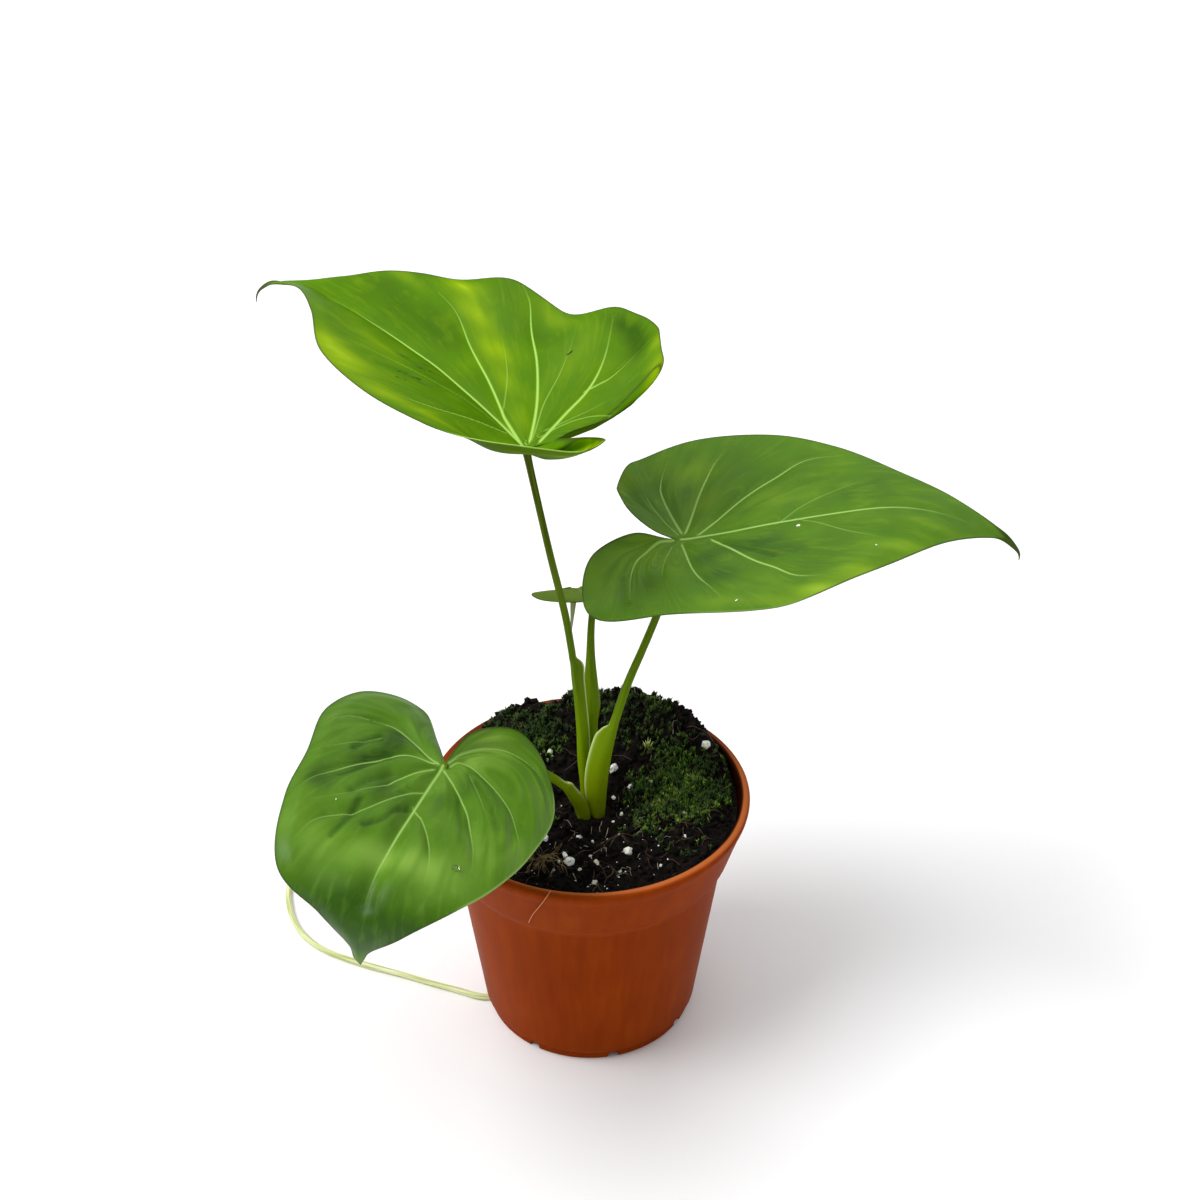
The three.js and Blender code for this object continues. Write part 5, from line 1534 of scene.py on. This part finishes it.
def leaf_half(leaf, side, sign):
    """A grid over one half of a flat leaf: row t runs from its start on the midrib to the margin, where
    k is 1. Gives along, out, wave and margin curve.
    """
    t = np.linspace(0, 1, ROWS_ALONG)
    k = np.linspace(0, 1, POINTS_ACROSS)[None, :]
    margin = through(leaf[side], ROWS_ALONG)
    margin[:, 1] = np.maximum(margin[:, 1], 0)
    start = leaf["left"][-1][0] * np.maximum(0, through(np.array(RIB_SHARES)[:, None], ROWS_ALONG))
    along = start + (margin[:, :1] - start) * k
    out = sign * margin[:, 1:2] * k
    wave = margin[:, 2:] * k**LIFT_POWER
    return along, out, wave, margin[:, :2] * [1, sign]


def edge_distance(flat, margin):
    """Distance in mm from each flat point to the nearest point of the margin curve, made three times
    finer.
    """
    fine = through(margin, len(margin) * 3)
    nearest = np.empty(len(flat))
    for part in np.array_split(np.arange(len(flat)), 16):
        nearest[part] = np.sqrt(((flat[part, None] - fine[None]) ** 2).sum(-1).min(1))
    return nearest


def leaf_blade(name, upper, lower, slot, seed):
    """Both halves of a leaf as one sheet welded along the midrib, bent into place, quilted and given
    its thickness.
    """
    leaf = LEAVES[name]
    length = leaf["left"][-1][0]
    flats, points, faces = [], [], []
    values = {label: [] for label in BLADE_VALUES}
    for side, sign in (("left", 1), ("right", -1)):
        along, out, wave, margin = leaf_half(leaf, side, sign)
        flat = np.column_stack([along.ravel(), out.ravel()])
        flats.append(flat)
        lines, main, between = vein_field(flat, VEINS[name])
        ridge = (lines[:, :, 2] * np.exp(-((lines[:, :, 1] / 1.3) ** 2))).max(0)
        to_margin = edge_distance(flat, margin)
        inside = smooth(to_margin / 5) * smooth((length - flat[:, 0]) / 25)
        bulge = 1 - np.exp(-((main / 3.6) ** 2)) - 0.5
        between_veins = np.column_stack([between / 7, np.hypot(*flat.T) / 13])
        uneven = (
            0.3 * lumps(flat, 13, seed)
            + 0.35 * leaf["quilting"] * lumps(between_veins, 1, seed + 1) * smooth(main / 4)
        )
        stop = np.repeat(np.linspace(0, len(RIB_SHARES) - 1, ROWS_ALONG), POINTS_ACROSS)
        share = np.tile(np.linspace(0, 1, POINTS_ACROSS), ROWS_ALONG)
        ripple = sum(
            (h * (s == sign) * np.exp(-(((stop - at) / w) ** 2)) for s, at, w, h in leaf["ripples"]),
            0 * stop,
        ) * share**3
        creased = 0 * main
        for depth, stops in CREASES[name]:
            off = np.sqrt(((flat[:, None] - through(stops, CREASE_POINTS)[None]) ** 2).sum(-1).min(1))
            creased = np.maximum(creased, depth * np.exp(-((off / CREASE_WIDTH) ** 2)))
        lift = wave.ravel() + (leaf["quilting"] * bulge + uneven - creased) * inside + ripple
        for a, b, radius, height in leaf["hollows"]:
            lift += height * np.exp(-((flat[:, 0] - a) ** 2 + (flat[:, 1] - b) ** 2) / radius**2)
        settled = np.where(np.abs(flat[:, 1]) < 1e-6, sign * 1e-6, flat[:, 1])
        points.append(bend(leaf, flat[:, 0], settled, lift))
        corners = grid_faces(ROWS_ALONG, POINTS_ACROSS, start=sum(len(p) for p in points[:-1]))
        faces.append(corners[:, ::-1] if sign > 0 else corners)
        steep = np.gradient(between.reshape(ROWS_ALONG, POINTS_ACROSS), axis=0).ravel()
        streaky = 1 + 0.45 * lumps(
            np.column_stack([between / 1.6, np.hypot(*flat.T) / 16]), 1, seed + 2
        ) / (1 + steep**2)
        tint_and_painted_light = 0.4 + leaf["streaks"] * (streaky - 1)
        for a, b, radius_a, radius_b, more in PATCHES[name]:
            tint_and_painted_light += 0.55 * more * streaky * np.exp(
                -(((flat[:, 0] - a) / radius_a) ** 2) - ((flat[:, 1] - b) / radius_b) ** 2
            )
        # painted shade: the creases are darkened in colour as well as sunk
        tint_and_painted_light -= 0.4 * creased
        for number, line in enumerate(lines):
            values[f"vein_{number}"].append(line)
        values["furrow"].append(ridge)
        values["flow"].append(np.column_stack([between, np.hypot(*flat.T), 0 * between + seed]))
        values["margin"].append(to_margin)
        pale_side, pale_from, pale_to, pale_much = leaf["pale_edge"]
        values["edge"].append(
            pale_much * (sign == pale_side) * smooth((stop - pale_from) * 3)
            * smooth((pale_to - stop) * 2)
        )
        values["tint_and_painted_light"].append(tint_and_painted_light)
        dry_from, dry_much = leaf["dry"]
        values["dry"].append(smooth((flat[:, 0] / length - dry_from) / (1 - dry_from)) * dry_much)
        values["thick"].append(np.clip(0.55 + 0.45 * ridge - 0.25 * np.exp(-to_margin / 1.5), 0, 1))
    joined = {label: np.concatenate(parts) for label, parts in values.items()}
    BLADE_POINTS[name] = (np.vstack(flats), np.vstack(points))
    thick = joined.pop("thick")
    piece = make_piece(
        "leaf_" + name, np.vstack(points), faces, [upper, lower], slot, ["blade_" + name], joined
    )
    group = piece.vertex_groups.new(name="thick")
    for amount in range(THICKNESS_STEPS + 1):
        members = np.flatnonzero(np.round(thick * THICKNESS_STEPS) == amount)
        group.add(members.tolist(), amount / THICKNESS_STEPS, "REPLACE")
    shaper = bmesh.new()
    shaper.from_mesh(piece.data)
    bmesh.ops.remove_doubles(shaper, verts=shaper.verts, dist=0.002 * MM)
    shaper.to_mesh(piece.data)
    shaper.free()
    sheet = piece.modifiers.new("thickness", "SOLIDIFY")
    sheet.thickness = VEIN_THICKNESS * MM
    sheet.offset = -1
    sheet.use_rim = True
    sheet.use_quality_normals = True
    sheet.vertex_group = "thick"
    sheet.material_offset = 1
    sheet.material_offset_rim = 0


leaf_blade("tall", LEAF_TALL, LEAF_UNDER, "leaf_green", 40)
leaf_blade("right", LEAF_RIGHT, LEAF_UNDER, "leaf_green", 43)
leaf_blade("low", LEAF_LOW, LEAF_UNDER, "leaf_green", 46)
leaf_blade("young", LEAF_YOUNG, LEAF_YOUNG_UNDER, "leaf_young", 49)

# %% [markdown]
# ## Trailing root
# One root has grown out through a drainage notch and lies on the table. It is pale, firm and slightly
# flattened, with a shallow groove where it dried, and it wavers as it goes.

# %% Pale root
def root_skin():
    """Living root: pale yellow-green, almost white on its ridges, faintly streaked lengthwise, waxy."""
    material, tree, shader = new_material("root living", Roughness=0.5, IOR=1.42, Subsurface_Weight=0.1)
    shader.inputs["Subsurface Scale"].default_value = 0.001
    flow = add_node(tree, "Attribute", attribute_name="flow")
    long_map = add_node(tree, "Mapping", {"Vector": flow.outputs["Vector"], "Scale": (1.4, 0.06, 1)})
    long_noise = add_node(tree, "TexNoise", {"Vector": long_map, "Scale": 1, "Detail": 3})
    colour = add_node(
        tree, "ValToRGB", {"Fac": long_noise},
        stops=[(0.35, "#a9b566"), (0.5, "#cfd79a"), (0.68, "#e6ebc8")],
    )
    tree.links.new(colour.outputs[0], shader.inputs["Base Color"])
    bump = add_node(tree, "Bump", {"Height": long_noise, "Strength": 0.4, "Distance": 0.0002})
    tree.links.new(bump.outputs[0], shader.inputs["Normal"])
    return material


ROOT_SKIN = root_skin()
ROOT_RADIUS = 1.15
ROOT_ROUTE = [
    (-33.3, -7.4), (-38.5, -7), (-45.3, -4.4), (-56, 0), (-66.8, 4.2), (-77.7, 8), (-87, 12),
    (-94.5, 16.2), (-100.8, 21.4), (-106, 28.4), (-109.6, 37), (-111.6, 48.6), (-110, 60.5), (-105, 71),
]
ROOT_RINGS = 420
ROOT_SIDES = 28
root_flat = through(ROOT_ROUTE, ROOT_RINGS)
root_far = np.cumsum(np.linalg.norm(np.diff(root_flat, axis=0, prepend=root_flat[:1]), axis=1))
waver = 0.25 * lumps(root_far[:, None], 11, 51)
root_size = (
    ROOT_RADIUS * (0.93 + 0.09 * lumps(root_far[:, None], 7, 52))
    * (1 - 0.5 * smooth((root_far - root_far[-1] + 4) / 4))
)
root_size = np.minimum(root_size, ROOT_RADIUS)
root_line = np.column_stack(
    [root_flat[:, 0], root_flat[:, 1] + waver, np.maximum(root_size * 0.9, 0.5) + 0.06]
)
root_rings = tube(root_line, root_size, root_size, root_size * 0.88, ROOT_SIDES, (0.0, 0.0, 1.0))
v = np.linspace(0, 2 * np.pi, ROOT_SIDES, endpoint=False)[None, :]
groove = 1 - 0.22 * np.exp(-(((v - 1.35) / 0.3) ** 2)) * smooth(root_far / 12)[:, None]
root_rings = root_line[:, None] + (root_rings - root_line[:, None]) * groove[:, :, None]
root_points, root_faces = closed_tube(root_rings)
root_values = {"flow": flow_on_tube(ROOT_RADIUS, root_far, ROOT_SIDES)}
make_piece(
    "root_trailing", root_points, root_faces, [ROOT_SKIN], "root_pale", ["trailing_root"], root_values
)

# %% [markdown]
# ## Small things
# A few small things make this plant one plant: a drop of dew, stray grains of perlite, a brown spot and
# healed scratches on the leaves, a fibre over the lip and one pale sprout. What lies on a leaf is set at
# its place by the flat coordinates of that leaf, so it follows every bend.

# %% Drop, flecks, scratches, fibre and sprout
def on_blade(name, along, out):
    """The place on a bent blade of the grid point nearest to a flat place."""
    flat, points = BLADE_POINTS[name]
    return points[((flat - [along, out]) ** 2).sum(1).argmin()]


def plain(name, colour, **surface):
    """One even colour, for a thing too small to show a pattern."""
    return new_material(name, Base_Color=linear(colour), **surface)[0]


DEW = plain("water clear", "#ffffff", Roughness=0.02, IOR=1.33, Transmission_Weight=1.0)
SCAR = plain("scratch healed corky", "#3f5a12", Roughness=0.7)
SPOT = plain("spot dry brown", "#2a2408", Roughness=0.8)
LIP_HAIR = plain("fibre dry orange", "#d0885a", Roughness=0.6)
SPROUT = plain("sprout pale", "#b7c672", Roughness=0.6)
ball, ball_faces = solid_ball(3)
drop = on_blade("low", 43.1, 19.3) + ball * [1.2, 1.1, 0.8] + [0, -0.2, 0.45]
make_piece("dew_drop", drop, [ball_faces], [DEW], "leaf_green")

# leaf, mm along, mm out and radius of the flecks
FLECKS = [
    ("right", 36.4, -4.5, 0.5), ("right", 60, -17, 0.3), ("right", 21.3, -38.5, 0.4),
    ("low", 36.7, -19.7, 0.3),
]
fleck_places = np.array([on_blade(name, a, b) for name, a, b, _ in FLECKS]) + [0, 0, 0.15]
fleck_radii = np.array([radius for *_, radius in FLECKS])[:, None] * np.array([1.2, 0.8, 0.6])
fleck_points, fleck_faces = scattered(solid_ball(2), fleck_places, fleck_radii, 61)
make_piece("stray_flecks", fleck_points, [fleck_faces], [PERLITE], "leaf_green", crisp=True)

# leaf, start and end in mm along and out, radius
SCRATCHES = [
    ("tall", (49, 12.5), (44.5, 9.5), 0.2), ("tall", (41, 12), (37.5, 10), 0.25),
    ("tall", (33, 28), (29.5, 26), 0.2),
    ("tall", (35.5, 21), (31, 17.5), 0.25), ("tall", (30, 20), (27, 18), 0.2),
    ("tall", (38.5, 8), (34.5, 5.5), 0.2),
    ("tall", (43, 7.5), (40, 6), 0.15), ("tall", (37, 23.5), (35, 19.5), 0.15),
]


def scratches(marks):
    """A thin tube for each mark, laid from its start to its end through five places on the blade."""
    all_rings = []
    share = np.linspace(0, 1, 5)[:, None]
    for name, start, end, radius in marks:
        flat = np.array(start) * (1 - share) + np.array(end) * share
        flat[:, 1] += 0.5 * np.sin(share[:, 0] * 7)
        route = np.array([on_blade(name, *place) for place in flat])
        size = radius * np.sin(np.pi * (0.15 + 0.7 * share[:, 0]))
        all_rings.append(tube(route, size, size, size * 0.6, 6, (0.0, 0.0, 1.0)))
    return joined_tubes(all_rings)


make_piece("leaf_scratches", *scratches(SCRATCHES), [SCAR], "leaf_green")
make_piece("leaf_spot", *scratches([("tall", (14.6, -30.4), (14, -28.6), 0.3)]), [SPOT], "leaf_green")

LIP_FIBRE = [
    (-11.5, -48.9, 87.1), (-12.5, -51.0, 86.9), (-14.1, -50.4, 83.5), (-15.9, -47.9, 78.5),
    (-17.4, -45.9, 74.5), (-18.8, -43.8, 69.3),
]
LIP_RINGS = 24
lip_route = through(LIP_FIBRE, LIP_RINGS)
lip_size = np.full(LIP_RINGS, 0.14)
lip_tube = closed_tube(tube(lip_route, lip_size, lip_size, lip_size, 6, (0.0, 1.0, 0.0)))
make_piece("lip_fibre", *lip_tube, [LIP_HAIR], "peat")

SPROUT_PLACE = np.array([[19.4, 17.0]])
sprout_foot = np.append(SPROUT_PLACE, crumbled(*SPROUT_PLACE.T))
sprout_feet = sprout_foot + np.array(
    [[0, 0, 0], [0.5, 0, 0.3], [-0.5, 0.2, 0.2], [0.2, 0.3, 1.2], [-0.2, -0.3, 1.8]]
)
sprout_ways = np.array([[0, 0, 1], [0.4, 0, 1], [-0.4, 0.1, 1], [0.3, 0.2, 1], [-0.3, -0.2, 1]], float)
sprout = spikes(sprout_feet, sprout_ways, np.array([5.2, 3.6, 3.4, 3.2, 3.0]), np.full(5, 0.5))
make_piece("pale_sprout", sprout[0], [sprout[1]], [SPROUT], "peat")
